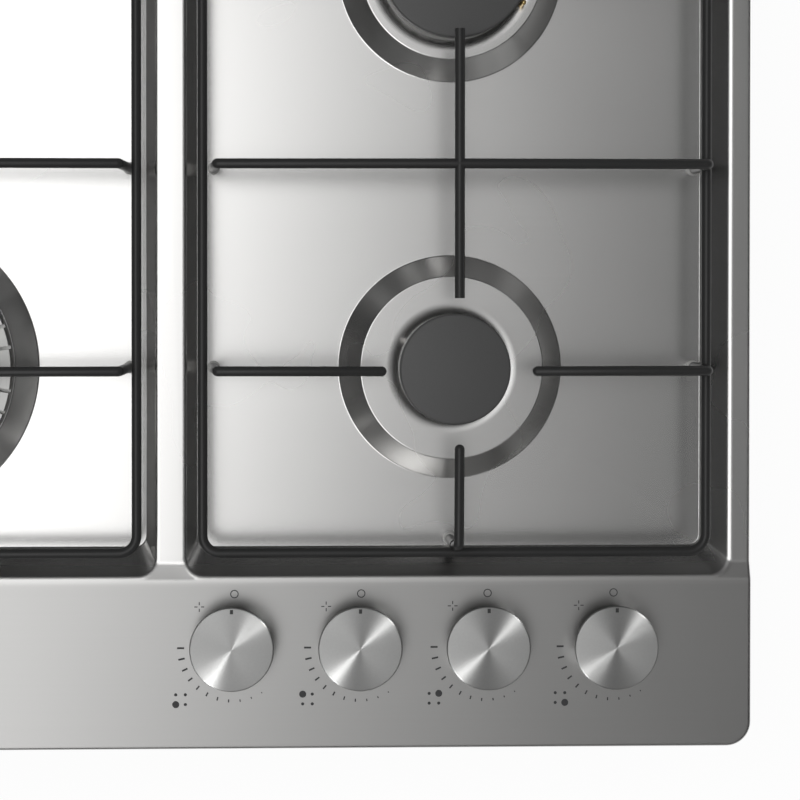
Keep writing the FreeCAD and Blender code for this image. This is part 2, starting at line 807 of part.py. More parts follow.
def d_outline(sketch, radius, flat):
    # a circle cut by one flat
    turn = math.acos(flat.number / radius.number)
    ring = Part.Circle(FreeCAD.Vector(0, 0, 0), FreeCAD.Vector(0, 0, 1), radius.number)
    arc = sketch.addGeometry(Part.ArcOfCircle(ring, turn, 2 * math.pi - turn), False)
    rise = radius.number * math.sin(turn)
    ends = [FreeCAD.Vector(flat.number, -rise, 0), FreeCAD.Vector(flat.number, rise, 0)]
    line = sketch.addGeometry(Part.LineSegment(*ends), False)
    sketch.addConstraint(Sketcher.Constraint("Coincident", arc, 3, -1, 1))
    sketch.addConstraint(Sketcher.Constraint("Coincident", arc, 2, line, 1))
    sketch.addConstraint(Sketcher.Constraint("Coincident", line, 2, arc, 1))
    sketch.addConstraint(Sketcher.Constraint("Vertical", line))
    tie(sketch, "Radius", (arc,), radius)
    tie(sketch, "DistanceX", (-1, 1, line, 1), flat)


def knob(label):
    # a round head with a D-shaped bore from below and a pointer notch near its edge
    body = add("PartDesign::Body", "knob_" + label + "_body")
    radius = size["knob_size"] / 2
    body_prism(body, "Additive", "head", knob_sides, radius, knob_top - knob_low, knob_low)
    edge_bevel(body, "edge", radius, knob_top, size["knob_bevel"])
    doc.recompute()
    bore = sketch_on(body, "XY_Plane", "bore", knob_low)
    d_outline(bore, shaft + size["shaft_gap"], size["spindle_flat"] + size["shaft_gap"])
    pocket(body, bore, "bore_cut", size["spindle_reach"], reverse=True)
    doc.recompute()
    mark = sketch_on(body, "XY_Plane", "mark", knob_top)
    half = size["mark_width"] / 2
    high = radius - size["mark_inset"]
    low = high - size["mark_length"]
    polygon(mark, [(-half, low), (half, low), (half, high), (-half, high)])
    pocket(body, mark, "mark_cut", size["mark_depth"])
    return body


def spindle(label):
    body = add("PartDesign::Body", "spindle_" + label + "_body")
    outline = sketch_on(body, "XY_Plane", "section", plunger_top)
    d_outline(outline, shaft, size["spindle_flat"])
    pad(body, outline, "shaft", spindle_top - plunger_top)
    return body


taps, switches = [], []
for label, x in zip(tap_names, knob_xs):
    half_x, half_y = size["tap_width"] / 2, size["tap_depth"] / 2
    low, high = (x - half_x, knob_y - half_y, tap_low), (x + half_x, knob_y + half_y, tap_top)
    shell = block(f"tap_{label}_shell", low, high)
    bore = prism(f"tap_{label}_bore", 8, (shaft + gap) * 2, size["tap_height"] + 2, (x, knob_y, tap_low - 1))
    taps.append(cut(f"tap_{label}", shell, bore))
    side = x + half_x
    reach = half_y * 0.7
    low = (side - size["switch_width"], knob_y - reach, tap_top)
    high = (side, knob_y + reach, tap_top + size["switch_height"])
    switches.append(block(f"switch_{label}", low, high))
    piece(f"tap_plunger_{label}", prism(
        f"plunger_{label}", 8, size["plunger_size"], size["plunger_length"], (x, knob_y, plunger_low)
    ))
    piece(f"tap_spindle_{label}", put(spindle(label), x, knob_y))
    piece(f"knob_{label}", put(knob(label), x, knob_y))
piece("gas_taps", group("gas_taps", taps))
piece("ignition_switches", group("ignition_switches", switches))

rail_back = knob_y - size["tap_depth"] / 2
rail_y = rail_back - size["rail_size"] / 2
rail_half = size["rail_size"] / 2
rail_left = size["knob_middle"] - size["rail_length"] / 2
rail_right = size["knob_middle"] + size["rail_length"] / 2
rail_low, rail_top = tap_z - rail_half, tap_z + rail_half
piece("gas_rail", block(
    "gas_rail", (rail_left, rail_y - rail_half, rail_low), (rail_right, rail_back, rail_top)
))

brackets = []
bracket_half, bracket_t = size["bracket_width"] / 2, size["bracket_sheet"]
post_y = rail_y - bracket_t / 2
for spot, share in enumerate((0.2, 0.75)):
    middle = rail_left + size["rail_length"] * share
    left, right = middle - bracket_half, middle + bracket_half
    foot_back, foot_top_z = rail_y + size["bracket_foot"], tray_floor + bracket_t
    post = block(f"bracket_post_{spot}", (left, post_y, tray_floor), (right, post_y + bracket_t, rail_low))
    foot = block(f"bracket_foot_{spot}", (left, post_y, tray_floor), (right, foot_back, foot_top_z))
    brackets.append(fuse(f"bracket_{spot}", [post, foot]))
piece("rail_brackets", group("rail_brackets", brackets))

outlet_y = knob_y + size["tap_depth"] / 2
tube = size["tube_size"].number
low_z = cup_low - size["tube_drop"]
tubes = []
for label, x in zip(tap_names, knob_xs):
    bx, by, hole = burners[label]
    end_y = by - hole - size["cup_wall"] - size["injector_length"]
    straight_y = end_y - size["tube_size"] * 1.5
    route = [(x, outlet_y, tap_z), (x, outlet_y + size["tube_size"], tap_z)]
    if label.startswith("rear"):
        route += [(x, outlet_y + size["tube_run"], low_z), (bx, straight_y - size["tube_rise"], low_z)]
    route += [(bx, straight_y, injector_z), (bx, end_y, injector_z)]
    tubes.append(mitred_rod(route, tube))
piece("feed_tubes", shaped("feed_tubes", tubes))

inlet_pipe = size["inlet_pipe_size"]
inlet_half = inlet_pipe / 2 + size["inlet_wall"]
pipe_route = [(rail_right, rail_y, tap_z), (inlet_x, rail_y, tap_z), (inlet_x, inlet_y - inlet_half, tap_z)]
piece("inlet_pipe", shaped("inlet_pipe", [mitred_rod(pipe_route, inlet_pipe.number)]))

block_low, block_top = tap_z - inlet_pipe, tap_z + inlet_pipe * 0.7
thread_top = tray_low - size["inlet_drop"]
elbow = block(
    "inlet_block",
    (inlet_x - inlet_half, inlet_y - inlet_half, block_low),
    (inlet_x + inlet_half, inlet_y + inlet_half, block_top)
)
neck_size = size["inlet_thread"] + size["inlet_clearance"] * 0.75
neck = prism("inlet_neck", 6, neck_size, block_low - thread_top, (inlet_x, inlet_y, thread_top))
thread_low = thread_top - size["inlet_thread_length"]
thread_place = (inlet_x, inlet_y, thread_low)
thread = cylinder("inlet_thread", size["inlet_thread"] / 2, size["inlet_thread_length"], thread_place)
piece("gas_inlet", fuse("gas_inlet", [elbow, neck, thread]))


# ---- what the tray holds ------------------------------------------------------------------

generator_z = tray_floor + size["generator_height"]
generator_half, generator_front = size["generator_width"] / 2, size["generator_front"]
generator_back = generator_front + size["generator_depth"]
outlet_line = (generator_front + generator_back) / 2
low, high = (-generator_half, generator_front, tray_floor), (generator_half, generator_back, generator_z)
generator = [block("generator_case", low, high)]
for step in range(4):
    place = (size["outlet_pitch"] * (step - 1.5), outlet_line, generator_z)
    generator.append(prism(f"generator_outlet_{step}", 8, size["outlet_size"], size["outlet_height"], place))
piece("ignition_generator", fuse("ignition_generator", generator))

terminal_half = size["terminal_width"] / 2
terminal = block(
    "terminal_case",
    (cable_x - terminal_half, inner_rear_y - size["terminal_depth"], tray_floor),
    (cable_x + terminal_half, inner_rear_y, tray_floor + size["terminal_height"])
)
entry = cylinder("terminal_entry", size["cable_hole"] / 2, size["cable_reach"] + 2, (0, 0, 0))
lying(entry, cable_x, inner_rear_y - size["cable_reach"], cable_z)
piece("terminal_box", cut("terminal_box", terminal, entry))

clamps, clamp_screws = [], []
clamp_half, clamp_t = size["clamp_width"] / 2, size["clamp_sheet"]
for corner, (side, y) in enumerate([
    (-1, -size["clamp_front"]), (-1, size["clamp_rear"]), (1, -size["clamp_front"]), (1, size["clamp_rear"])
]):
    arm_in, arm_out = (tray_x - size["clamp_inner"]) * side, (tray_x + size["clamp_outer"]) * side
    tip_in = arm_out - clamp_t * side
    arm_ends = (arm_in, arm_out) if side > 0 else (arm_out, arm_in)
    tip_ends = (tip_in, arm_out) if side > 0 else (arm_out, tip_in)
    front, back = y - clamp_half, y + clamp_half
    arm_low, hook_top = tray_low - clamp_t, tray_low + size["clamp_hook"]
    arm = block(f"clamp_arm_{corner}", (arm_ends[0], front, arm_low), (arm_ends[1], back, tray_low))
    hook = block(f"clamp_hook_{corner}", (tip_ends[0], front, tray_low), (tip_ends[1], back, hook_top))
    clamps.append(fuse(f"clamp_{corner}", [arm, hook]))
    place = ((tray_x - size["clamp_inner"] / 2) * side, y, arm_low - size["screw_head"])
    clamp_screws.append(prism(f"clamp_screw_{corner}", 6, size["screw_size"], size["screw_head"], place))
piece("fixing_clamps", group("fixing_clamps", clamps))
piece("clamp_screws", group("clamp_screws", clamp_screws))


# ---- pan supports -------------------------------------------------------------------------

rod = size["rod_size"].number
half_rod = size["rod_size"] / 2
wire_z = pan_top + size["wire_lift"]
wire_top = wire_z + half_rod
wire_low = wire_z - half_rod
bar_z = pan_top + size["bar_lift"]
foot_top = pan_top + size["foot_thickness"]
inner_post = size["wire_half_width"] - size["rod_size"]
burner_ys = (front_y, rear_y)


def wire_loop(x, y, z):
    # the closed wire that ties the legs together, from the middle of its front side
    half_x, half_y = size["wire_half_width"], size["wire_half_length"]
    bend = size["wire_bend"]
    path = [(x, y - half_y, z)]
    for index, (way_x, way_y) in enumerate([(1, -1), (1, 1), (-1, 1), (-1, -1)]):
        for step in range(4):
            angle = math.radians(-90 + 90 * index + 30 * step)
            corner_x = x + (half_x - bend) * way_x + bend * math.cos(angle)
            corner_y = y + (half_y - bend) * way_y + bend * math.sin(angle)
            path.append((corner_x, corner_y, z))
    path.append(path[0])
    return mitred_rod(path, rod)


for label, way in (("right", 1), ("left", -1)):
    centre = burner_x * way
    fingers, crossing, feet = [], [], []

    def leg(rods, u, y, tip, over_wire, lengthways=False):
        # a finger that runs in from its leg; u is measured outwards from the middle of the support
        x = centre if lengthways else centre + u * way
        end = (centre, tip, bar_z) if lengthways else (centre + tip * way, y, bar_z)
        low = wire_top if over_wire else foot_top
        rods.append(bent_rod([end, (x, y, bar_z), (x, y, low)], size["rod_bend"].number, rod))
        if over_wire:
            rods.append(mitred_rod([(x, y, wire_low), (x, y, foot_top)], rod))
        name = f"foot_{label}_{len(feet)}"
        feet.append(prism(name, 8, size["foot_size"], size["foot_thickness"], (x, y, pan_top)))

    for y in burner_ys:
        leg(fingers, -inner_post, y, -size["finger_gap"], False)
        leg(fingers, size["outer_post"], y, size["finger_gap"], True)
    leg(crossing, -inner_post, grate_y, -half_rod, False)
    leg(crossing, size["outer_post"], grate_y, half_rod, True)
    for end, burner_y in ((-1, front_y), (1, rear_y)):
        y = grate_y + size["end_post"] * end
        leg(fingers, nothing, y, burner_y + size["finger_gap"] * end, True, lengthways=True)
    bar_ends = (front_y + size["finger_gap"], rear_y - size["finger_gap"])
    fingers.append(mitred_rod([(centre, y, bar_z) for y in bar_ends], rod))
    piece(f"support_wire_{label}", shaped(f"support_wire_{label}", [wire_loop(centre, grate_y, wire_z)]))
    piece(f"support_bars_{label}", shaped(f"support_bars_{label}", fingers))
    piece(f"support_cross_bar_{label}", shaped(f"support_cross_bar_{label}", crossing))
    piece(f"support_feet_{label}", group(f"support_feet_{label}", feet))


# ---- checks and files ---------------------------------------------------------------------

doc.recompute()
for thing in doc.Objects:
    if "Invalid" in thing.State or "Error" in thing.State:
        raise RuntimeError(f"{thing.Name} did not build: {thing.State}")
for thing in pieces:
    if thing.Shape.isNull() or not thing.Shape.isValid():
        raise RuntimeError(f"{thing.Label} has no valid shape")

os.makedirs("parts", exist_ok=True)
for thing in pieces:
    thing.Shape.exportStep(f"parts/{thing.Label}.step")
print(f"wrote {len(pieces)} pieces")
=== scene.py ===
import math
import bmesh
import bpy
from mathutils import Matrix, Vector


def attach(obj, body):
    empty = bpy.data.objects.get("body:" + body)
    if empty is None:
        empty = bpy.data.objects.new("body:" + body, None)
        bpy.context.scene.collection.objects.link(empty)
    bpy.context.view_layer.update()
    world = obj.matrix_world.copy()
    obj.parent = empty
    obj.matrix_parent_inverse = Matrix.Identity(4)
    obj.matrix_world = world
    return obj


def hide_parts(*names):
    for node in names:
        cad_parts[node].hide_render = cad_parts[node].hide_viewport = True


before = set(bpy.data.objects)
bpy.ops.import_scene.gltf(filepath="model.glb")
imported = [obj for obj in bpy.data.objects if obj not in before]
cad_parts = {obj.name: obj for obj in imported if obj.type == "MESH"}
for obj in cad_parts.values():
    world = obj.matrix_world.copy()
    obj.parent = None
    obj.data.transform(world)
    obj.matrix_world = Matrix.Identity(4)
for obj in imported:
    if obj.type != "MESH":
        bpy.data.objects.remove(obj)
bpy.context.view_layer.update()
mm = 0.001  # shapes are drawn in millimetres and scaled as they become pieces; all else is in metres
print("frame loaded:", len(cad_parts), "nodes")

burnerNames = ("front_right", "rear_right", "rear_left", "front_left")
tapNames = ("front_left", "rear_left", "rear_right", "front_right")
burnerPlace = {  # burner centres in plan
    "front_right": (143.5, -60.5), "rear_right": (143.5, 143.9),
    "rear_left": (-143.5, 143.9), "front_left": (-143.5, -60.5),
}


class Value:
    # a node's output that can be added, multiplied and so on
    def __init__(self, surface, socket):
        self.surface, self.socket = surface, socket

    def combine(self, operation, first, second):
        return self.surface.node("ShaderNodeMath", first, second, operation=operation)

    def __add__(self, other): return self.combine("ADD", self, other)
    def __radd__(self, other): return self.combine("ADD", other, self)
    def __sub__(self, other): return self.combine("SUBTRACT", self, other)
    def __rsub__(self, other): return self.combine("SUBTRACT", other, self)
    def __mul__(self, other): return self.combine("MULTIPLY", self, other)
    def __rmul__(self, other): return self.combine("MULTIPLY", other, self)
    def __truediv__(self, other): return self.combine("DIVIDE", self, other)
    def __rtruediv__(self, other): return self.combine("DIVIDE", other, self)
    def __pow__(self, other): return self.combine("POWER", self, other)
    def __rpow__(self, other): return self.combine("POWER", other, self)
    def __neg__(self): return self.combine("MULTIPLY", self, -1)


class Surface:
    # a node tree with one method for every kind of node
    def __init__(self, owner):
        owner.use_nodes = True
        self.owner, self.tree = owner, owner.node_tree
        self.tree.nodes.clear()

    def feed(self, socket, value):
        if isinstance(value, Value):
            self.tree.links.new(value.socket, socket)
        else:
            socket.default_value = value

    def node(self, kind, *inputs, out=0, **settings):
        # a setting in lower case is the node's own, and one with a capital is an input
        item = self.tree.nodes.new(kind)
        for key, value in settings.items():
            if key[0].islower():
                setattr(item, key, value)
            else:
                self.feed(item.inputs[key.replace("_", " ")], value)
        for index, value in enumerate(inputs):
            self.feed(item.inputs[index], value)
        return Value(self, item.outputs[out]) if len(item.outputs) else None

    def place(self):
        return self.node("ShaderNodeTexCoord", out="Object")

    def stretched(self, x, y, z):
        return self.node("ShaderNodeMapping", Vector=self.place(), Scale=(x, y, z))

    def noise(self, vector, scale, detail=2.0):
        return self.node("ShaderNodeTexNoise", Vector=vector, Scale=scale, Detail=detail, out="Fac")

    def between(self, value, low, high):
        return self.node("ShaderNodeMapRange", value, low, high, 0.0, 1.0)

    def blended(self, factor, first, second):
        blend = self.tree.nodes.new("ShaderNodeMix")
        blend.data_type = "RGBA"
        for index, value in ((0, factor), (6, first), (7, second)):
            self.feed(blend.inputs[index], value)
        return Value(self, blend.outputs[2])

    def colours(self, factor, first, second):
        return self.blended(factor, (*first, 1), (*second, 1))

    def bump(self, height, distance, strength):
        return self.node("ShaderNodeBump", Strength=strength, Distance=distance, Height=height)

    def finish(self, **settings):
        shader = self.node("ShaderNodeBsdfPrincipled", **settings)
        self.node("ShaderNodeOutputMaterial", shader)
        return self.owner


def surfaceNamed(name):
    return Surface(bpy.data.materials.new(name))


steelLook = {
    "pale": (0.725, 0.72, 0.71), "dark": (0.68, 0.675, 0.665), "roughness": 0.27,
    "lineDepth": 0.00001, "lineShare": 0.02,
    # the control strip: its edges, a painted shade that darkens its colour, and its added roughness
    "stripFront": -0.172, "stripBack": -0.161, "stripPaintedShade": 0.63, "stripRoughness": 0.09,
}


def brushedSteel(name, look):
    # faint lines that run left to right; the control strip in front is duller than the rest, and its colour
    # is darkened there as painted shade
    s = surfaceNamed(name)
    lines = s.noise(s.stretched(3, 700, 700), 1.0, 2.0)
    drift = s.noise(s.place(), 9.0, 2.0)
    place = s.node("ShaderNodeSeparateXYZ", s.place())
    depth = Value(s, place.socket.node.outputs[1])
    front = s.between(depth, look["stripBack"], look["stripFront"])
    # painted shade: the base colour is darkened over the front control strip
    shade = 1.0 - front * (1.0 - look["stripPaintedShade"])
    pale = s.colours(shade, (0, 0, 0), look["pale"])
    dark = s.colours(shade, (0, 0, 0), look["dark"])
    colour = s.blended(lines * 0.4 + drift * 0.6, dark, pale)
    rough = look["roughness"] - 0.02 + drift * 0.04 + front * look["stripRoughness"]
    normal = s.bump(lines, look["lineDepth"], look["lineShare"])
    return s.finish(Base_Color=colour, Metallic=1.0, Roughness=rough, Normal=normal)


def enamel(name, colour, roughness, speckle=0.004, gloss=0.5):
    # fired enamel: a hard skin with a faint orange peel
    s = surfaceNamed(name)
    peel = s.noise(s.place(), 900.0, 2.0)
    fleck = s.noise(s.place(), 3000.0, 1.0)
    lighter = tuple(part + speckle for part in colour)
    tint = s.colours(s.between(fleck, 0.45, 0.62), colour, lighter)
    rough = roughness + (peel - 0.5) * 0.12
    normal = s.bump(peel, 0.00006, 0.35)
    return s.finish(Base_Color=tint, Roughness=rough, Normal=normal, Specular_IOR_Level=gloss)


def castAlloy(name, pale, dark, roughness):
    # die-cast or machined aluminium with a slightly grainy skin
    s = surfaceNamed(name)
    grain = s.noise(s.place(), 1400.0, 3.0)
    cloud = s.noise(s.place(), 60.0, 2.0)
    tint = s.colours(grain * 0.4 + cloud * 0.6, dark, pale)
    rough = roughness + (cloud - 0.5) * 0.15
    return s.finish(Base_Color=tint, Metallic=1.0, Roughness=rough, Normal=s.bump(grain, 0.00005, 0.5))


def zincedSheet():
    # galvanised sheet with its spangle
    s = surfaceNamed("zinced_sheet")
    flakes = s.node("ShaderNodeTexVoronoi", Vector=s.place(), Scale=110.0, out="Color")
    shade = s.node("ShaderNodeSeparateColor", flakes)
    smear = s.noise(s.place(), 14.0, 3.0)
    tint = s.colours(shade * 0.55 + smear * 0.45, (0.46, 0.48, 0.49), (0.66, 0.68, 0.69))
    return s.finish(Base_Color=tint, Metallic=1.0, Roughness=0.34 + shade * 0.18)


def turnedMetal(name, pale, dark, roughness, spun=0.0):
    # a faint grain; a spun face blurs its reflections outwards from the middle
    s = surfaceNamed(name)
    grain = s.noise(s.place(), 900.0 if spun else 2600.0, 2.0)
    tint = s.colours(grain, dark, pale)
    rough = roughness + (grain - 0.5) * 0.05
    return s.finish(Base_Color=tint, Metallic=1.0, Roughness=rough,
                    Anisotropic=spun, Anisotropic_Rotation=0.25)


def mouldedPlastic(name, colour, roughness, bumpy=0.00004):
    s = surfaceNamed(name)
    grain = s.noise(s.place(), 1800.0, 3.0)
    patch = s.noise(s.place(), 40.0, 2.0)
    tint = s.colours(patch, colour, tuple(part * 1.12 + 0.004 for part in colour))
    rough = roughness + (patch - 0.5) * 0.1
    return s.finish(Base_Color=tint, Roughness=rough, Normal=s.bump(grain, bumpy, 0.6))


materials = {
    "topSteel": brushedSteel("brushed_steel", steelLook),
    "rodEnamel": enamel("rod_enamel", (0.022, 0.022, 0.022), 0.36, gloss=0.3),
    "capEnamel": enamel("cap_enamel", (0.056, 0.056, 0.056), 0.42),
    "crownAlloy": castAlloy("crown_alloy", (0.5, 0.5, 0.49), (0.36, 0.36, 0.35), 0.42),
    "cupAlloy": castAlloy("cup_alloy", (0.62, 0.62, 0.6), (0.48, 0.48, 0.47), 0.5),
    "zinced": zincedSheet(),
    "screwZinc": turnedMetal("screw_zinc", (0.68, 0.69, 0.7), (0.52, 0.53, 0.54), 0.36),
    "railSteel": turnedMetal("rail_steel", (0.52, 0.53, 0.54), (0.4, 0.41, 0.42), 0.38),
    "tubeAlloy": turnedMetal("tube_alloy", (0.74, 0.74, 0.73), (0.6, 0.6, 0.59), 0.33),
    "brass": turnedMetal("turned_brass", (0.8, 0.6, 0.27), (0.66, 0.47, 0.19), 0.3),
    "knobMetal": turnedMetal("knob_metal", (0.35, 0.35, 0.346), (0.315, 0.315, 0.311), 0.36, 0.93),
    "knobMark": enamel("knob_mark", (0.02, 0.02, 0.02), 0.5),
    "ceramic": enamel("glazed_ceramic", (0.78, 0.77, 0.73), 0.22, 0.03),
    "footRubber": mouldedPlastic("foot_rubber", (0.36, 0.36, 0.35), 0.38),
    "sealRubber": mouldedPlastic("seal_rubber", (0.03, 0.03, 0.03), 0.7, 0.0001),
    "darkPlastic": mouldedPlastic("dark_plastic", (0.035, 0.035, 0.038), 0.48),
    "palePlastic": mouldedPlastic("pale_plastic", (0.62, 0.62, 0.59), 0.45),
    "print": enamel("printed_ink", (0.03, 0.03, 0.032), 0.55),
}
print("materials:", len(materials))

nodeFinish = {
    "zinced": ("bottom_tray", "rail_brackets", "fixing_clamps"),
    "screwZinc": ("tray_screws", "cup_screws", "clamp_screws"),
    "railSteel": ("gas_rail", "inlet_pipe"),
    "tubeAlloy": ("feed_tubes", "gas_taps"),
    "cupAlloy": ("burner_cups",),
    "brass": ("injectors", "gas_inlet"),
    "sealRubber": ("rim_seal",),
    "darkPlastic": ("ignition_switches", "ignition_generator"),
    "palePlastic": ("terminal_box",),
}
for name in tapNames:
    nodeFinish["railSteel"] += ("tap_plunger_" + name, "tap_spindle_" + name)
for finish, nodes in nodeFinish.items():
    for node in nodes:
        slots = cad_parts[node].data.materials
        slots.clear()
        slots.append(materials[finish])


def addPiece(name, shape, finish, body="hob", covers=(), sharp=35, even=False):
    # turns a bmesh in millimetres into a piece that rides on a body
    bmesh.ops.scale(shape, vec=(mm, mm, mm), verts=shape.verts)
    bmesh.ops.recalc_face_normals(shape, faces=shape.faces)
    mesh = bpy.data.meshes.new(name)
    shape.to_mesh(mesh)
    shape.free()
    mesh.shade_smooth()
    mesh.set_sharp_from_angle(angle=math.radians(sharp))
    mesh.materials.append(materials[finish])
    piece = bpy.data.objects.new(name, mesh)
    bpy.context.scene.collection.objects.link(piece)
    if even:
        weigh = piece.modifiers.new("evenNormals", "WEIGHTED_NORMAL")
        weigh.weight = 100
        weigh.keep_sharp = True
    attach(piece, body)
    for node in covers:
        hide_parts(node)
    return piece


def filleted(corners, steps):
    # rounds the corners of a line of (x, z, radius)
    line = [Vector(corners[0][:2])]
    for before, corner, after in zip(corners, corners[1:], corners[2:]):
        middle, radius = Vector(corner[:2]), corner[2]
        back = (Vector(before[:2]) - middle).normalized()
        ahead = (Vector(after[:2]) - middle).normalized()
        half = back.angle(ahead) / 2
        if radius == 0 or half > 1.56:
            line.append(middle)
            continue
        reach = radius / math.tan(half)
        centre = middle + (back + ahead).normalized() * (radius / math.sin(half))
        start, end = middle + back * reach - centre, middle + ahead * reach - centre
        swing = start.angle_signed(end)
        for step in range(steps + 1):
            turn = -swing * step / steps
            x = start.x * math.cos(turn) - start.y * math.sin(turn)
            y = start.x * math.sin(turn) + start.y * math.cos(turn)
            line.append(centre + Vector((x, y)))
    line.append(Vector(corners[-1][:2]))
    return line


def spun(corners, steps, place, roundSteps=5):
    # a full spin of a rounded outline about the upright axis
    shape = bmesh.new()
    points = [shape.verts.new((point.x, 0, point.y)) for point in filleted(corners, roundSteps)]
    edges = [shape.edges.new(pair) for pair in zip(points, points[1:])]
    bmesh.ops.spin(shape, geom=points + edges, cent=(0, 0, 0), axis=(0, 0, 1), angle=math.tau, steps=steps,
                   use_merge=True)
    bmesh.ops.remove_doubles(shape, verts=shape.verts, dist=0.0005)
    bmesh.ops.translate(shape, verts=shape.verts, vec=place)
    return shape


topPlate = {
    "width": 595, "depth": 510, "corner": 12.5, "sheet": 0.8, "bottom": 2, "flange": 9,
    "rimTop": 13, "rimRound": 1.5, "rimMargin": 0.6, "cornerReach": 13,
    "panelRise": 2.5, "panelBack": -169, "rampRun": 9, "rampRows": 16, "crease": 0.12,
    "panFloor": 3, "panInner": 12.9, "panOuter": 273.5, "panFront": -153.2, "panRear": 236.8,
    "mouthInner": 7.6, "mouthOuter": 286.5, "mouthFront": -167.0, "mouthRear": 243.3,
    "floorCorner": 6, "mouthCorner": 9, "mouthRound": 1.9, "floorRound": 0.3,
    "mouthBend": 0.09, "footBend": 0.06,  # the shares of a wall's height that its two bends take
    "plateauTop": 13.5, "plateauRun": 10.7, "plateauRadius": 46.7, "wokPlateauRadius": 64.6,
    "plateauFringe": 3, "footRound": 1.3, "shoulderRound": 1.1, "ringSteps": 120,
    "lipReach": 3.9, "lipRound": 26, "lipDip": 0.75, "holeRound": 0.3, "holeDepth": 1.6,
    "knobX": (31.05, 95.75, 160.45, 225.15), "knobY": -201, "knobHole": 6,
}
holeRadius = {"front_right": 27.3, "rear_right": 37.1, "rear_left": 37.1, "front_left": 47}


def topLevel(y):
    # the height of the top surface: rim, ramp with rounded creases, panel
    t = topPlate
    spread = t["crease"]
    u = (t["panelBack"] + t["rampRun"] - y) / t["rampRun"]
    if u < -spread:
        share = 0
    elif u < spread:
        share = (u + spread) ** 2 / (4 * spread)
    elif u < 1 - spread:
        share = u
    elif u < 1 + spread:
        share = 1 - (1 + spread - u) ** 2 / (4 * spread)
    else:
        share = 1
    return t["rimTop"] + t["panelRise"] * share


def roundedOutline(left, right, low, high, corner, steps=10):
    # points of a rounded rectangle, anticlockwise
    points = []
    for cx, cy, start in ((right - corner, low + corner, -90), (right - corner, high - corner, 0),
                          (left + corner, high - corner, 90), (left + corner, low + corner, 180)):
        for step in range(steps + 1):
            angle = math.radians(start + 90 * step / steps)
            points.append((cx + corner * math.cos(angle), cy + corner * math.sin(angle)))
    return points


def circlePoints(place, radius, steps):
    turns = [math.tau * step / steps for step in range(steps)]
    return [(place[0] + radius * math.cos(turn), place[1] + radius * math.sin(turn)) for turn in turns]


def startLoop(shape, outline, z=0.0):
    # a closed line of edges, from a circle moved onto the outline
    circle = bmesh.ops.create_circle(shape, cap_ends=False, radius=1, segments=len(outline))
    ring = circle["verts"]
    for vert, (x, y) in zip(ring, outline):
        vert.co = (x, y, z)
    return ring


def openLoop(shape, inside):
    # the open edges whose ends pass a test, walked in order
    edges = [edge for edge in shape.edges if len(edge.link_faces) <= 1 and all(inside(v) for v in edge.verts)]
    links = {}
    for edge in edges:
        for vert in edge.verts:
            links.setdefault(vert, []).append(edge)
    first = edges[0].verts[0]
    ring, used, vert = [first], set(), first
    while True:
        edge = next((item for item in links[vert] if item not in used), None)
        if edge is None:
            break
        used.add(edge)
        vert = edge.other_vert(vert)
        if vert is first:
            break
        ring.append(vert)
    return ring


def nextRow(shape, ring, places):
    # extrudes a closed row and moves the new row to its places
    pairs = list(zip(ring, ring[1:] + ring[:1]))
    edges = [shape.edges.get(pair) for pair in pairs]
    made = bmesh.ops.extrude_edge_only(shape, edges=edges)["geom"]
    old = set(ring)
    follow = {}
    for vert in made:
        if isinstance(vert, bmesh.types.BMVert):
            for edge in vert.link_edges:
                if edge.other_vert(vert) in old:
                    follow[edge.other_vert(vert)] = vert
    row = [follow[vert] for vert in ring]
    for vert, place in zip(row, places):
        vert.co = place
    return row


def fillBetween(shape, rings):
    edges = []
    for ring in rings:
        edges += [shape.edges.get(pair) for pair in zip(ring, ring[1:] + ring[:1])]
    bmesh.ops.triangle_fill(shape, use_beauty=True, edges=edges, normal=(0, 0, 1))


def mappedTo(value, fromLow, fromHigh, fromBend, toLow, toHigh, toBend):
    # carries a coordinate from one rounded outline's span to another's
    knots = (fromLow, fromLow + fromBend, fromHigh - fromBend, fromHigh)
    goals = (toLow, toLow + toBend, toHigh - toBend, toHigh)
    value = min(max(value, fromLow), fromHigh)
    for index in range(3):
        if value <= knots[index + 1] or index == 2:
            share = (value - knots[index]) / (knots[index + 1] - knots[index])
            return goals[index] + (goals[index + 1] - goals[index]) * share


def panSpan(way, mouth, grow):
    # left, right, front, rear and corner of a pan, at its mouth or its floor
    t = topPlate
    line = "mouth" if mouth else "pan"
    inner, outer, front, rear = (t[line + side] for side in ("Inner", "Outer", "Front", "Rear"))
    left, right = (inner, outer) if way > 0 else (-outer, -inner)
    corner = t["mouthCorner"] if mouth else t["floorCorner"]
    return left - grow, right + grow, front - grow, rear + grow, corner + grow


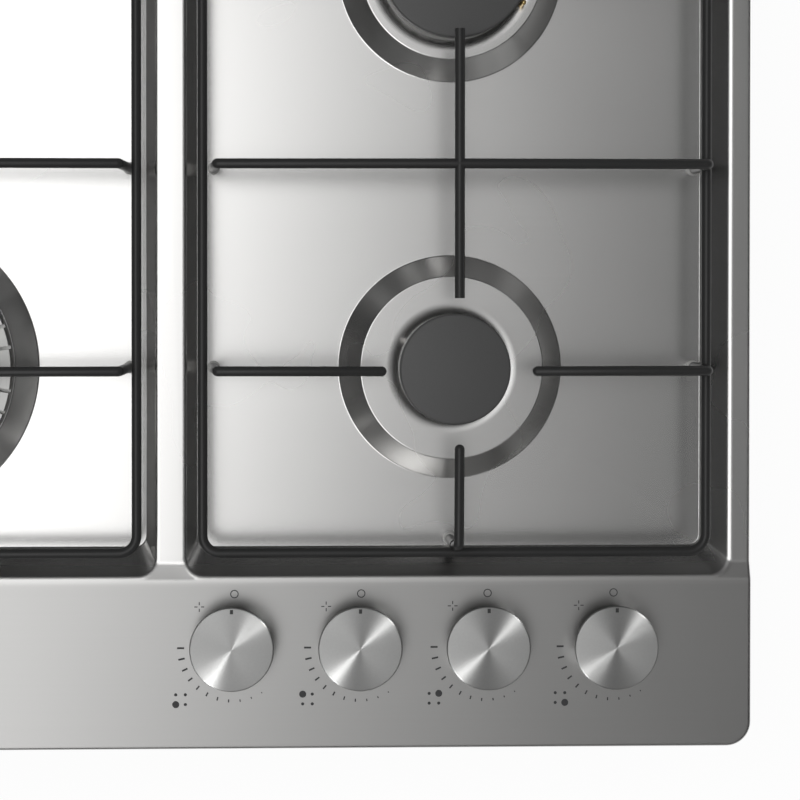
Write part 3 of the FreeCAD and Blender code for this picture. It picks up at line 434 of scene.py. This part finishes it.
def makeTop():
    t = topPlate
    shape = bmesh.new()
    x, y, edge = t["width"] / 2, t["depth"] / 2, t["rimRound"]
    inset = edge + t["rimMargin"]
    corner = t["corner"] - inset
    rings = [startLoop(shape, roundedOutline(-x + inset, x - inset, -y + inset, y - inset, corner))]
    for way in (1, -1):
        rings.append(startLoop(shape, roundedOutline(*panSpan(way, True, t["mouthRound"]))))
    for knobX in t["knobX"]:
        rings.append(startLoop(shape, circlePoints((knobX, t["knobY"]), t["knobHole"], 24)))
    fillBetween(shape, rings)
    for step in range(-6, t["rampRows"] + 7):  # rows of points across the ramp make its creases round
        level = t["panelBack"] + t["rampRun"] * step / t["rampRows"]
        geom = list(shape.verts) + list(shape.edges) + list(shape.faces)
        bmesh.ops.bisect_plane(shape, geom=geom, dist=0.0005, plane_co=(0, level, 0), plane_no=(0, 1, 0))
    for vert in shape.verts:
        vert.co.z = topLevel(vert.co.y)

    # rim: over the edge, down the side and back under as a flange
    def nearRim(v):
        across, along = abs(v.co.x) - (x - inset), abs(v.co.y) - (y - inset)
        besideRim = across > -0.01 or along > -t["cornerReach"]
        return across > -t["cornerReach"] and besideRim or along > -0.01

    ring = openLoop(shape, nearRim)
    homes = [vert.co.copy() for vert in ring]
    rows = [(edge, 0, None)]
    for step in range(1, 7):
        angle = math.pi / 2 * step / 6
        rows.append((edge * (1 - math.sin(angle)), edge * (1 - math.cos(angle)), None))
    bottom, sheet = t["bottom"], t["sheet"]
    rows += [(0, None, bottom + sheet), (sheet, None, bottom)]
    rows += [(t["flange"], None, bottom), (t["flange"], None, bottom + sheet)]
    for back, drop, z in rows:
        places = []
        for home in homes:
            cx = max(-x + inset + corner, min(x - inset - corner, home.x))
            cy = max(-y + inset + corner, min(y - inset - corner, home.y))
            out = Vector((home.x - cx, home.y - cy))
            grow = inset - back
            out = out * ((corner + grow) / corner) if corner + grow > 0.5 else out * (0.5 / corner)
            if abs(out.x) < 1e-6 and abs(out.y) < 1e-6:
                out = Vector((0, 0))
            level = topLevel(home.y) - drop if z is None else z
            places.append((cx + out.x, cy + out.y, level))
        ring = nextRow(shape, ring, places)

    # pans: down the walls to the floors
    for way in (1, -1):
        left, right, low, high, bend = panSpan(way, True, t["mouthRound"])

        def nearPan(v):
            return left - 0.01 < v.co.x < right + 0.01 and low - 0.01 < v.co.y < high + 0.01

        ring = openLoop(shape, nearPan)
        homes = [vert.co.copy() for vert in ring]
        rows = []
        for step in range(1, 6):
            s = step / 5
            rows.append((True, t["mouthRound"] * (1 - s) ** 2, t["mouthBend"] * s * s))
        for step in range(1, 4):
            rows.append((True, 0, t["mouthBend"] + (1 - t["mouthBend"] - t["footBend"]) * step / 4))
        for step in range(0, 6):
            s = step / 5
            rows.append((False, -t["floorRound"] * s * s, 1 - t["footBend"] * (1 - s) ** 2))
        for fromMouth, grow, share in rows:
            mouth = panSpan(way, True, grow if fromMouth else 0)
            floor = panSpan(way, False, 0 if fromMouth else grow)
            span = [a + (b - a) * share for a, b in zip(mouth, floor)]
            places = []
            for home in homes:
                px = mappedTo(home.x, left, right, bend, span[0], span[1], span[4])
                py = mappedTo(home.y, low, high, bend, span[2], span[3], span[4])
                places.append((px, py, home.z * (1 - share) + t["panFloor"] * share))
            ring = nextRow(shape, ring, places)
        circles = []
        for name, (cx, cy) in burnerPlace.items():
            if cx * way < 0:
                continue
            top = t["wokPlateauRadius"] if name == "front_left" else t["plateauRadius"]
            foot, hole, level = top + t["plateauRun"], holeRadius[name], t["plateauTop"]
            profile = filleted([
                (foot + t["plateauFringe"], t["panFloor"], 0), (foot, t["panFloor"], t["footRound"]),
                (top, level, t["shoulderRound"]), (hole + t["lipReach"], level, t["lipRound"]),
                (hole, level - t["lipDip"], t["holeRound"]), (hole, level - t["holeDepth"], 0)], 7)
            circle = startLoop(shape, circlePoints((cx, cy), profile[0].x, t["ringSteps"]), t["panFloor"])
            circles.append((circle, (cx, cy), profile))
        fillBetween(shape, [ring] + [item[0] for item in circles])
        for circle, middle, profile in circles:
            for point in profile[1:]:
                places = [(*place, point.y) for place in circlePoints(middle, point.x, t["ringSteps"])]
                circle = nextRow(shape, circle, places)
    return shape


top = addPiece("pressed_top", makeTop(), "topSteel", covers=["top_plate"], sharp=60, even=True)
print("top pressed:", len(top.data.polygons), "faces")


panSupport = {
    "rod": 2.5, "wireZ": 28.5, "barZ": 48.6, "wireBend": 9, "bend": 3.6, "weld": 0.6,
    "middle": 41.7, "halfWidth": 127, "halfLength": 194.4,
    "fingerGap": 36, "innerPost": 122, "outerPost": 126.3, "endPost": 191,
    "footLow": 3, "footTop": 6, "footRadius": 3.3, "footTaper": 0.3,
    "footGrip": 0.3, "footRounds": (0.4, 0.8),
}


def bentPath(corners, bend, steps=7):
    # straight runs with round bends
    path = [Vector(corners[0])]
    for before, corner, after in zip(corners, corners[1:], corners[2:]):
        middle = Vector(corner)
        back = (Vector(before) - middle).normalized()
        ahead = (Vector(after) - middle).normalized()
        half = back.angle(ahead) / 2
        reach = bend / math.tan(half)
        centre = middle + (back + ahead).normalized() * (bend / math.sin(half))
        start, end = middle + back * reach - centre, middle + ahead * reach - centre
        for step in range(steps + 1):
            path.append(centre + start.slerp(end, step / steps))
    path.append(Vector(corners[-1]))
    return path


def roundTip(path, radius):
    # the share of the rod's radius at each point, with a domed first end
    first = Vector(path[0])
    way = (Vector(path[1]) - first).normalized()
    reach = (0, 0.05, 0.2, 0.45, 0.8)
    dome = [first + way * radius * share for share in reach]
    return dome + list(path[1:]), [math.sqrt(1 - (1 - share) ** 2) for share in reach] + [1] * (len(path) - 1)


def joined(shape, more):
    part = bpy.data.meshes.new("part")
    more.to_mesh(part)
    more.free()
    shape.from_mesh(part)
    bpy.data.meshes.remove(part)


def addRods(name, paths, radius, finish, body, covers, closed=False, tips=()):
    # round rods along paths; those in tips start with a dome
    line = bpy.data.curves.new(name, "CURVE")
    line.dimensions = "3D"
    line.bevel_depth = radius * mm
    line.bevel_resolution = 8
    line.use_fill_caps = not closed
    for index, path in enumerate(paths):
        widths = [1] * len(path)
        if index in tips:
            path, widths = roundTip(path, radius)
        spline = line.splines.new("POLY")
        spline.points.add(len(path) - 1)
        for point, place, width in zip(spline.points, path, widths):
            point.co = (*(Vector(place) * mm), 1)
            point.radius = width
        spline.use_cyclic_u = closed
    line.materials.append(materials[finish])
    piece = bpy.data.objects.new(name, line)
    bpy.context.scene.collection.objects.link(piece)
    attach(piece, body)
    for node in covers:
        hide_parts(node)


def makeSupport(side, way):
    p = panSupport
    centre = burnerPlace["front_right"][0] * way
    low, high = p["middle"] - p["halfLength"], p["middle"] + p["halfLength"]
    left, right = centre - p["halfWidth"], centre + p["halfWidth"]
    ring = [(x, y, p["wireZ"]) for x, y in roundedOutline(left, right, low, high, p["wireBend"], 8)]
    addRods(f"support_wire_{side}_round", [ring], p["rod"], "rodEnamel", "support_" + side,
            ["support_wire_" + side], closed=True)
    paths, feet, tips = [], [], []
    wireTop, wireLow, legEnd = p["wireZ"] + p["rod"], p["wireZ"] - p["rod"], p["footTop"] - p["footGrip"]

    def leg(x, y, tip, overWire, domed=True):
        if domed:
            tips.append(len(paths))
        end = wireTop - p["weld"] if overWire else legEnd
        paths.append(bentPath([(*tip, p["barZ"]), (x, y, p["barZ"]), (x, y, end)], p["bend"]))
        if overWire:
            paths.append([(x, y, wireLow + p["weld"]), (x, y, legEnd)])
        feet.append((x, y))

    frontY, rearY = burnerPlace["front_right"][1], burnerPlace["rear_right"][1]
    for burner in (frontY, rearY):
        leg(centre - p["innerPost"] * way, burner, (centre - p["fingerGap"] * way, burner), False)
        leg(centre + p["outerPost"] * way, burner, (centre + p["fingerGap"] * way, burner), True)
    leg(centre - p["innerPost"] * way, p["middle"], (centre, p["middle"]), False, False)
    leg(centre + p["outerPost"] * way, p["middle"], (centre, p["middle"]), True, False)
    leg(centre, p["middle"] - p["endPost"], (centre, frontY - p["fingerGap"]), True)
    leg(centre, p["middle"] + p["endPost"], (centre, rearY + p["fingerGap"]), True)
    paths.append([(centre, frontY + p["fingerGap"], p["barZ"]), (centre, rearY - p["fingerGap"], p["barZ"])])
    addRods(f"support_rods_{side}", paths, p["rod"], "rodEnamel", "support_" + side,
            ["support_bars_" + side, "support_cross_bar_" + side], tips=tips)
    shape = bmesh.new()
    low, high, lowRound, highRound = p["footLow"], p["footTop"], *p["footRounds"]
    wide = p["footRadius"]
    profile = [(0, low, 0), (wide, low, lowRound), (wide - p["footTaper"], high, highRound), (0, high, 0)]
    for x, y in feet:
        joined(shape, spun(profile, 32, (x, y, 0)))
    addPiece(f"support_feet_{side}_round", shape, "footRubber", "support_" + side, ["support_feet_" + side])


for side, way in (("right", 1), ("left", -1)):
    makeSupport(side, way)
print("pan supports bent")


burnerHeads = {
    "cupTop": 12.7, "crownTop": 25.5, "crownInset": 4, "crownRound": 0.5, "wall": 3, "plateauTop": 13.5,
    "portWidth": 1.8, "portDepth": 6, "portWall": 0.6, "rimChamfer": (0.5, 0.35),
    "boreInset": 4.3, "wokBoreInset": 3.3, "skirtDepth": 4.5, "skirtRound": 0.3,
    "ports": {"front_right": 18, "rear_right": 24, "rear_left": 24, "front_left": 36},
    "caps": {"front_right": 28, "rear_right": 37.8, "rear_left": 37.8},
    "capHeight": 5, "capRound": 1.3, "capFoot": 0.4,
    "wokCrown": 64, "wokCap": 57, "wokCapHole": 24, "wokHub": 18, "wokHubRound": 0.8, "wokCentreCap": 22,
    "wokRise": 3, "wokDeck": 1.2, "wokDeckOverlap": 0.2, "wokProbeFoot": -6.3,
    "probeReach": 40.2, "probeTurn": -28, "probeDrop": 3, "sparkTurn": 150,
    # radius and rounding
    "probeSize": (1.3, 1.0), "ceramicSize": (1.17, 0.5), "pinSize": (0.68, 0.3), "pinLength": 1.5,
}


def portedRing(place, radius, inner, ports, high):
    # a wall whose upper part is cut by narrow ports
    shape = bmesh.new()
    b = burnerHeads
    half, slot = b["portWidth"] / 2, inner + b["portWall"]
    wide, deep = half / radius, half / slot
    outline = []
    for port in range(ports):
        turn = math.tau * port / ports
        outline.append((radius, turn + wide))
        for step in range(1, 5):
            outline.append((radius, turn + wide + (math.tau / ports - 2 * wide) * step / 5))
        outline.append((radius, turn + math.tau / ports - wide))
        outline.append((slot, turn + math.tau / ports - deep))
        outline.append((slot, turn + math.tau / ports + deep))

    def row(shrink, z):
        return [((r - shrink) * math.cos(a), (r - shrink) * math.sin(a), z) for r, a in outline]

    def innerRow(z):
        return [(inner * math.cos(a), inner * math.sin(a), z) for r, a in outline]

    floor = high - b["portDepth"]
    drop, shrink = b["rimChamfer"]
    ring = startLoop(shape, [place[:2] for place in row(0, 0)], floor)
    ring = nextRow(shape, ring, row(0, high - drop))
    ring = nextRow(shape, ring, row(shrink, high))
    ring = nextRow(shape, ring, innerRow(high))
    nextRow(shape, ring, innerRow(floor))
    bmesh.ops.translate(shape, verts=shape.verts, vec=(*place, 0))
    return shape


def makeBurner(name):
    b = burnerHeads
    x, y = burnerPlace[name]
    wok = name == "front_left"
    radius = b["wokCrown"] if wok else b["caps"][name] - b["crownInset"]
    bore = holeRadius[name] - b["wokBoreInset"] if wok else radius - b["boreInset"]
    inner = bore - b["wall"]
    low = b["plateauTop"] if wok else b["cupTop"]
    skirtLow, skirtRound = b["cupTop"] - b["skirtDepth"], b["skirtRound"]
    floor = b["crownTop"] - b["portDepth"]
    shape = portedRing((x, y), radius, inner, b["ports"][name], b["crownTop"])
    body = [(inner, floor, 0), (inner, skirtLow, skirtRound), (bore, skirtLow, skirtRound), (bore, low, 0),
            (radius, low, b["crownRound"]), (radius, floor, 0), (inner, floor, 0)]
    joined(shape, spun(body, 144 if wok else 120, (x, y, 0), 3))
    if wok:
        hub, hubTop, deck = b["wokHub"], b["crownTop"] + b["wokRise"], low + b["wokDeck"]
        post = [(0, low, 0), (hub, low, 0), (hub, hubTop, b["wokHubRound"]), (0, hubTop, 0)]
        joined(shape, spun(post, 64, (x, y, 0)))
        joined(shape, spun([(0, deck, 0), (inner + b["wokDeckOverlap"], deck, 0)], 64, (x, y, 0)))
    addPiece("crown_" + name + "_round", shape, "crownAlloy", "crown_" + name, ["burner_crown_" + name])
    capLow, capTop, bend, foot = b["crownTop"], b["crownTop"] + b["capHeight"], b["capRound"], b["capFoot"]
    if wok:
        hole, size, middle = b["wokCapHole"], b["wokCap"], (capLow + capTop) / 2
        ring = spun([(hole, middle, 0), (hole, capTop, bend), (size, capTop, bend), (size, capLow, foot),
                     (hole, capLow, foot), (hole, middle, 0)], 160, (x, y, 0))
        addPiece("cap_front_left_round", ring, "capEnamel", "cap_front_left", ["burner_cap_front_left"])
        capLow, capTop = capLow + b["wokRise"], capTop + b["wokRise"]
    size = b["wokCentreCap"] if wok else b["caps"][name]
    outline = [(0, capTop, 0), (size, capTop, bend), (size, capLow, foot), (0, capLow, 0)]
    cap = spun(outline, 128 if wok else 144, (x, y, 0))
    if wok:
        covers = ["burner_centre_cap_front_left"]
        addPiece("centre_cap_round", cap, "capEnamel", "centre_cap_front_left", covers)
    else:
        addPiece("cap_" + name + "_round", cap, "capEnamel", "cap_" + name, ["burner_cap_" + name])
    # the flame probe and the spark electrode
    reach = (b["wokHub"] + b["wokCapHole"]) / 2 if wok else (radius + holeRadius[name]) / 2
    foot = b["wokProbeFoot"] if wok else b["cupTop"]
    tip = b["crownTop"] - b["probeDrop"]

    def stick(shape, size, turn, far, low, high, steps):
        turn, (wide, tipRound) = math.radians(turn), size
        spot = (x + far * math.cos(turn), y + far * math.sin(turn), 0)
        joined(shape, spun([(0, low, 0), (wide, low, 0), (wide, high, tipRound), (0, high, 0)], steps, spot))

    probeFar = b["probeReach"] if name.startswith("rear") else reach
    stick(probes, b["probeSize"], b["probeTurn"], probeFar, foot, tip, 28)
    stick(insulators, b["ceramicSize"], b["sparkTurn"], reach, foot, tip, 28)
    stick(pins, b["pinSize"], b["sparkTurn"], reach, tip, tip + b["pinLength"], 20)


probes, insulators, pins = bmesh.new(), bmesh.new(), bmesh.new()
for name in burnerNames:
    makeBurner(name)
addPiece("flame_probes", probes, "brass", "hob", ["thermocouples"])
addPiece("spark_ceramics", insulators, "ceramic", "hob", ["spark_insulators"])
addPiece("spark_tips", pins, "screwZinc", "hob", ["spark_pins"])
print("burners set")


controls = {
    "radius": 21.5, "footRadius": 18.4, "low": 20, "high": 31.5, "edge": 0.9, "footRound": 0.5,
    "markReach": 19.1, "markWidth": 1.6, "markLength": 2.2, "panel": 15.5, "inkLift": 0.03, "printDrop": 2.2,
    "scaleRadius": 27.9, "ticks": 11, "tickStep": 12.35,
    "tickLong": 3.6, "tickShort": 0.7, "tickThick": 0.95, "tickThin": 0.5,
    "circlePlace": (1.3, 27.5), "circleOuter": 2.15, "circleInner": 1.65,
    "sparkPlace": (-16.6, 21), "sparkReach": 1.7, "sparkLong": 1.6, "sparkThick": 0.5,
    "dotPlace": (-28.6, -28.8), "dotGaps": (4.9, 5), "dotBig": 1.8, "dotSmall": 0.8,
    "bigDot": {"front_left": (0, 0), "rear_left": (0, 1), "rear_right": (1, 1), "front_right": (1, 0)},
}


def strip(shape, length, width, turn, place):
    # a flat printed stroke, centred on its place
    made = bmesh.ops.create_grid(shape, x_segments=1, y_segments=1, size=0.5)["verts"]
    cosine, sine = math.cos(turn), math.sin(turn)
    for vert in made:
        x, y = vert.co.x * length, vert.co.y * width
        vert.co = (place[0] + x * cosine - y * sine, place[1] + x * sine + y * cosine, 0)


def dot(shape, radius, place, hole=0):
    # a printed disc, or a ring if it has a hole
    if hole:
        outer = startLoop(shape, circlePoints(place, radius, 32))
        nextRow(shape, outer, [(*point, 0) for point in circlePoints(place, hole, 32)])
        return
    made = bmesh.ops.create_circle(shape, cap_ends=True, radius=radius, segments=28)["verts"]
    bmesh.ops.translate(shape, verts=made, vec=(*place, 0))


def makeControl(name, x):
    c = controls
    y = topPlate["knobY"]
    outline = [(0, c["high"], 0), (c["radius"], c["high"], c["edge"]),
               (c["footRadius"], c["low"], c["footRound"]), (0, c["low"], 0)]
    head = spun(outline, 144, (x, y, 0))
    addPiece("knob_" + name + "_round", head, "knobMetal", "knob_" + name, ["knob_" + name])
    mark = bmesh.new()
    strip(mark, c["markWidth"], c["markLength"], 0, (x, y + c["markReach"]))
    bmesh.ops.translate(mark, verts=mark.verts, vec=(0, 0, c["high"] + c["inkLift"]))
    addPiece("knob_" + name + "_pointer", mark, "knobMark", "knob_" + name)
    ink = bmesh.new()
    for tick in range(c["ticks"]):
        share = tick / (c["ticks"] - 1)
        length = c["tickLong"] + (c["tickShort"] - c["tickLong"]) * share
        width = c["tickThick"] + (c["tickThin"] - c["tickThick"]) * share
        turn = math.radians(180 + c["tickStep"] * tick)
        reach = c["scaleRadius"] - length / 2
        strip(ink, length, width, turn, (x + reach * math.cos(turn), y + reach * math.sin(turn)))
    aside, ahead = c["circlePlace"]
    dot(ink, c["circleOuter"], (x + aside, y + ahead), c["circleInner"])
    (aside, ahead), reach = c["sparkPlace"], c["sparkReach"]
    for turn in range(4):  # a small four-armed spark
        angle = math.radians(90 * turn)
        place = (x + aside + reach * math.cos(angle), y + ahead + reach * math.sin(angle))
        strip(ink, c["sparkLong"], c["sparkThick"], angle, place)
    (aside, ahead), (across, along) = c["dotPlace"], c["dotGaps"]
    for column in (0, 1):
        for row in (0, 1):
            size = c["dotBig"] if c["bigDot"][name] == (column, row) else c["dotSmall"]
            dot(ink, size, (x + aside + across * column, y + ahead + along * row))
    bmesh.ops.translate(ink, verts=ink.verts, vec=(0, -c["printDrop"], c["panel"] + c["inkLift"]))
    addPiece("print_" + name, ink, "print", "hob")


for name, x in zip(tapNames, topPlate["knobX"]):
    makeControl(name, x)
print("controls turned and printed")


stage = {
    "floorZ": -0.0685, "floorSize": 8, "floorDark": 0.86, "floorPale": 0.9, "white": 0.95, "fill": 0.55,
    "lamp": 20, "lampSize": 1.6, "lampPlace": (-0.9, 0.5, 2.1),
}


def stagePiece(name, shape, finish):
    mesh = bpy.data.meshes.new(name)
    shape.to_mesh(mesh)
    shape.free()
    mesh.materials.append(finish)
    piece = bpy.data.objects.new(name, mesh)
    bpy.context.scene.collection.objects.link(piece)
    return piece


def seenRays(surface):
    # 1 for the rays that show the white background, whether straight, mirrored or through glass
    rays = surface.tree.nodes.new("ShaderNodeLightPath")
    seen = [Value(surface, rays.outputs[f"Is {kind} Ray"]) for kind in ("Camera", "Glossy", "Transmission")]
    return seen[0] + seen[1] + seen[2]


def whiteFloor():
    s = surfaceNamed("studio_floor")
    seen = seenRays(s)
    tint = s.colours(s.noise(s.place(), 3.0), (stage["floorDark"],) * 3, (stage["floorPale"],) * 3)
    paint = s.node("ShaderNodeBsdfDiffuse", Color=tint)
    glow = s.node("ShaderNodeEmission", Color=(1, 1, 1, 1), Strength=1.0)
    s.node("ShaderNodeOutputMaterial", s.node("ShaderNodeMixShader", seen * stage["white"], paint, glow))
    return s.owner


ground = bmesh.new()
bmesh.ops.create_grid(ground, x_segments=4, y_segments=4, size=stage["floorSize"] / 2)
floor = stagePiece("studio_floor", ground, whiteFloor())
floor.location.z = stage["floorZ"]

world = bpy.data.worlds.new("studio")
bpy.context.scene.world = world
sky = Surface(world)
strength = stage["fill"] + seenRays(sky) * (1.0 - stage["fill"])
sky.node("ShaderNodeOutputWorld", sky.node("ShaderNodeBackground", Color=(1, 1, 1, 1), Strength=strength))

# what polished metal sees: a tent with a soft box overhead that darkens to the right, dark flags to the left,
# behind and to the right, and gaps between them
tent = {
    "radius": 20, "detail": 4,
    "bright": 2.5, "edge": 0.47, "full": 0.84, "dim": 0.063, "least": 0.02,  # the box overhead
    "fade": 11.8, "start": -0.090, "tilt": 0.245, "left": 0.2, "leftFade": 6.0,  # how it darkens to the sides
    "back": 0.2, "backRun": 0.16, "backShare": 0.9,  # and towards the back
    "flag": 0.035, "flagWide": 0.72, "flagEdge": 0.14,
    "flagTop": 0.62, "flagRun": 0.2, "flagLow": (0.08, 0.16),
    "skirtTurn": 45, "skirtSpan": (-0.2, 0.5), "skirtWest": 0.05, "skirtEast": 0.24, "skirtTop": (0.03, 0.2),
    "gapTop": 0.3, "gapRun": 0.25, "gapShare": 0.42,
    "dimTurn": 250, "dimSpan": (0.55, 0.95), "dimShare": 0.9,  # the side on which the gaps show less
}


def studioTent():
    s = surfaceNamed("studio_tent")
    place = s.node("ShaderNodeSeparateXYZ", s.place())
    east, north, up = (Value(s, place.socket.node.outputs[index]) / tent["radius"] for index in range(3))

    def larger(value, least):
        return s.node("ShaderNodeMath", value, least, operation="MAXIMUM")

    def soft(value, low, high):
        return s.node("ShaderNodeMapRange", value, low, high, 0.0, 1.0, interpolation_type="SMOOTHSTEP")

    aside = east - north * tent["tilt"] - tent["start"]
    far = larger(-aside - tent["left"], 0.0) * tent["leftFade"]
    fade = 2.718 ** -(larger(aside, 0.0) * tent["fade"] + far) + tent["least"]
    back = 1.0 - soft(north, tent["back"], tent["back"] + tent["backRun"]) * tent["backShare"]
    box = fade * back * soft(up, tent["edge"], tent["full"]) * tent["bright"] + tent["dim"]
    level = larger(east * east + north * north, 0.001) ** 0.5
    toEast, toNorth = east / level, north / level

    def toward(angle, least, most):
        turn = math.radians(angle)
        return soft(toEast * math.cos(turn) + toNorth * math.sin(turn), least, most)

    # flags stand to the left, behind and, from a little above the floor, to the right
    wide = (tent["flagWide"], tent["flagWide"] + tent["flagEdge"])
    flags = larger(soft(larger(-toEast, toNorth), *wide), soft(toEast, *wide) * soft(up, *tent["flagLow"]))
    low = 1.0 - soft(up, tent["flagTop"], tent["flagTop"] + tent["flagRun"])
    skirt = toward(tent["skirtTurn"], *tent["skirtSpan"]) * tent["skirtEast"] + tent["skirtWest"]
    skirt = skirt * (1.0 - soft(up, *tent["skirtTop"]))
    glow = box * (1.0 - flags * low) + flags * low * (tent["flag"] + skirt)
    gap = (1.0 - flags) * (1.0 - soft(up, tent["gapTop"], tent["gapTop"] + tent["gapRun"])) * tent["gapShare"]
    gap = gap * (1.0 - toward(tent["dimTurn"], *tent["dimSpan"]) * tent["dimShare"])
    panel = s.node("ShaderNodeEmission", Color=(1, 1, 1, 1), Strength=glow)
    clear = s.node("ShaderNodeBsdfTransparent", Color=(1, 1, 1, 1))
    s.node("ShaderNodeOutputMaterial", s.node("ShaderNodeMixShader", gap, panel, clear))
    return s.owner


shell = bmesh.new()
bmesh.ops.create_icosphere(shell, subdivisions=tent["detail"], radius=tent["radius"])
tentPiece = stagePiece("studio_tent", shell, studioTent())
for ray in ("camera", "diffuse", "transmission", "volume_scatter", "shadow"):
    setattr(tentPiece, "visible_" + ray, False)

lampData = bpy.data.lights.new("soft_lamp", "AREA")
lampData.size = stage["lampSize"]
lampData.energy = stage["lamp"]
lamp = bpy.data.objects.new("soft_lamp", lampData)
lamp.location = stage["lampPlace"]
lamp.rotation_euler = (-Vector(stage["lampPlace"])).to_track_quat("-Z", "Y").to_euler()
lamp.visible_glossy = False
bpy.context.scene.collection.objects.link(lamp)

# two strip lights and one overhead give the turned knobs their bright line, and light nothing else
lampReach = 3
knobLamps = {  # turn and rise in degrees, then width, length and power
    "strip_east": (22, 43, 0.26, 1.1, 28),
    "strip_west": (248, 43, 0.26, 1.1, 26),
    "overhead": (0, 90, 3, 3, 11),
}
turnedKnobs = bpy.data.collections.new("turned_knobs")
for name in tapNames:
    turnedKnobs.objects.link(bpy.data.objects["knob_" + name + "_round"])
for lampName, (turn, rise, wide, long, power) in knobLamps.items():
    light = bpy.data.lights.new(lampName, "AREA")
    light.shape = "RECTANGLE"
    light.size, light.size_y = wide, long
    light.energy, light.diffuse_factor = power, 0
    knobLamp = bpy.data.objects.new(lampName, light)
    rise, side = math.radians(rise), math.radians(turn)
    way = Vector((math.cos(side) * math.cos(rise), math.sin(side) * math.cos(rise), math.sin(rise)))
    knobLamp.location = way * lampReach
    knobLamp.rotation_euler = way.to_track_quat("Z", "Y").to_euler()
    knobLamp.visible_camera = False
    knobLamp.light_linking.receiver_collection = turnedKnobs
    bpy.context.scene.collection.objects.link(knobLamp)

shot = {"place": (0.0411, -0.0139, 0.9290), "tip": (-0.62, -1.42), "lens": 80.77, "shift": 0.13}
cameraData = bpy.data.cameras.new("camera")
cameraData.lens = shot["lens"]
cameraData.sensor_width = 36
cameraData.shift_x, cameraData.shift_y = shot["shift"], -shot["shift"]
camera = bpy.data.objects.new("camera", cameraData)
camera.location = shot["place"]
camera.rotation_euler = (math.radians(shot["tip"][0]), math.radians(shot["tip"][1]), 0)
bpy.context.scene.collection.objects.link(camera)
bpy.context.scene.camera = camera
bpy.context.scene.view_settings.view_transform = "Standard"
print("studio lit")
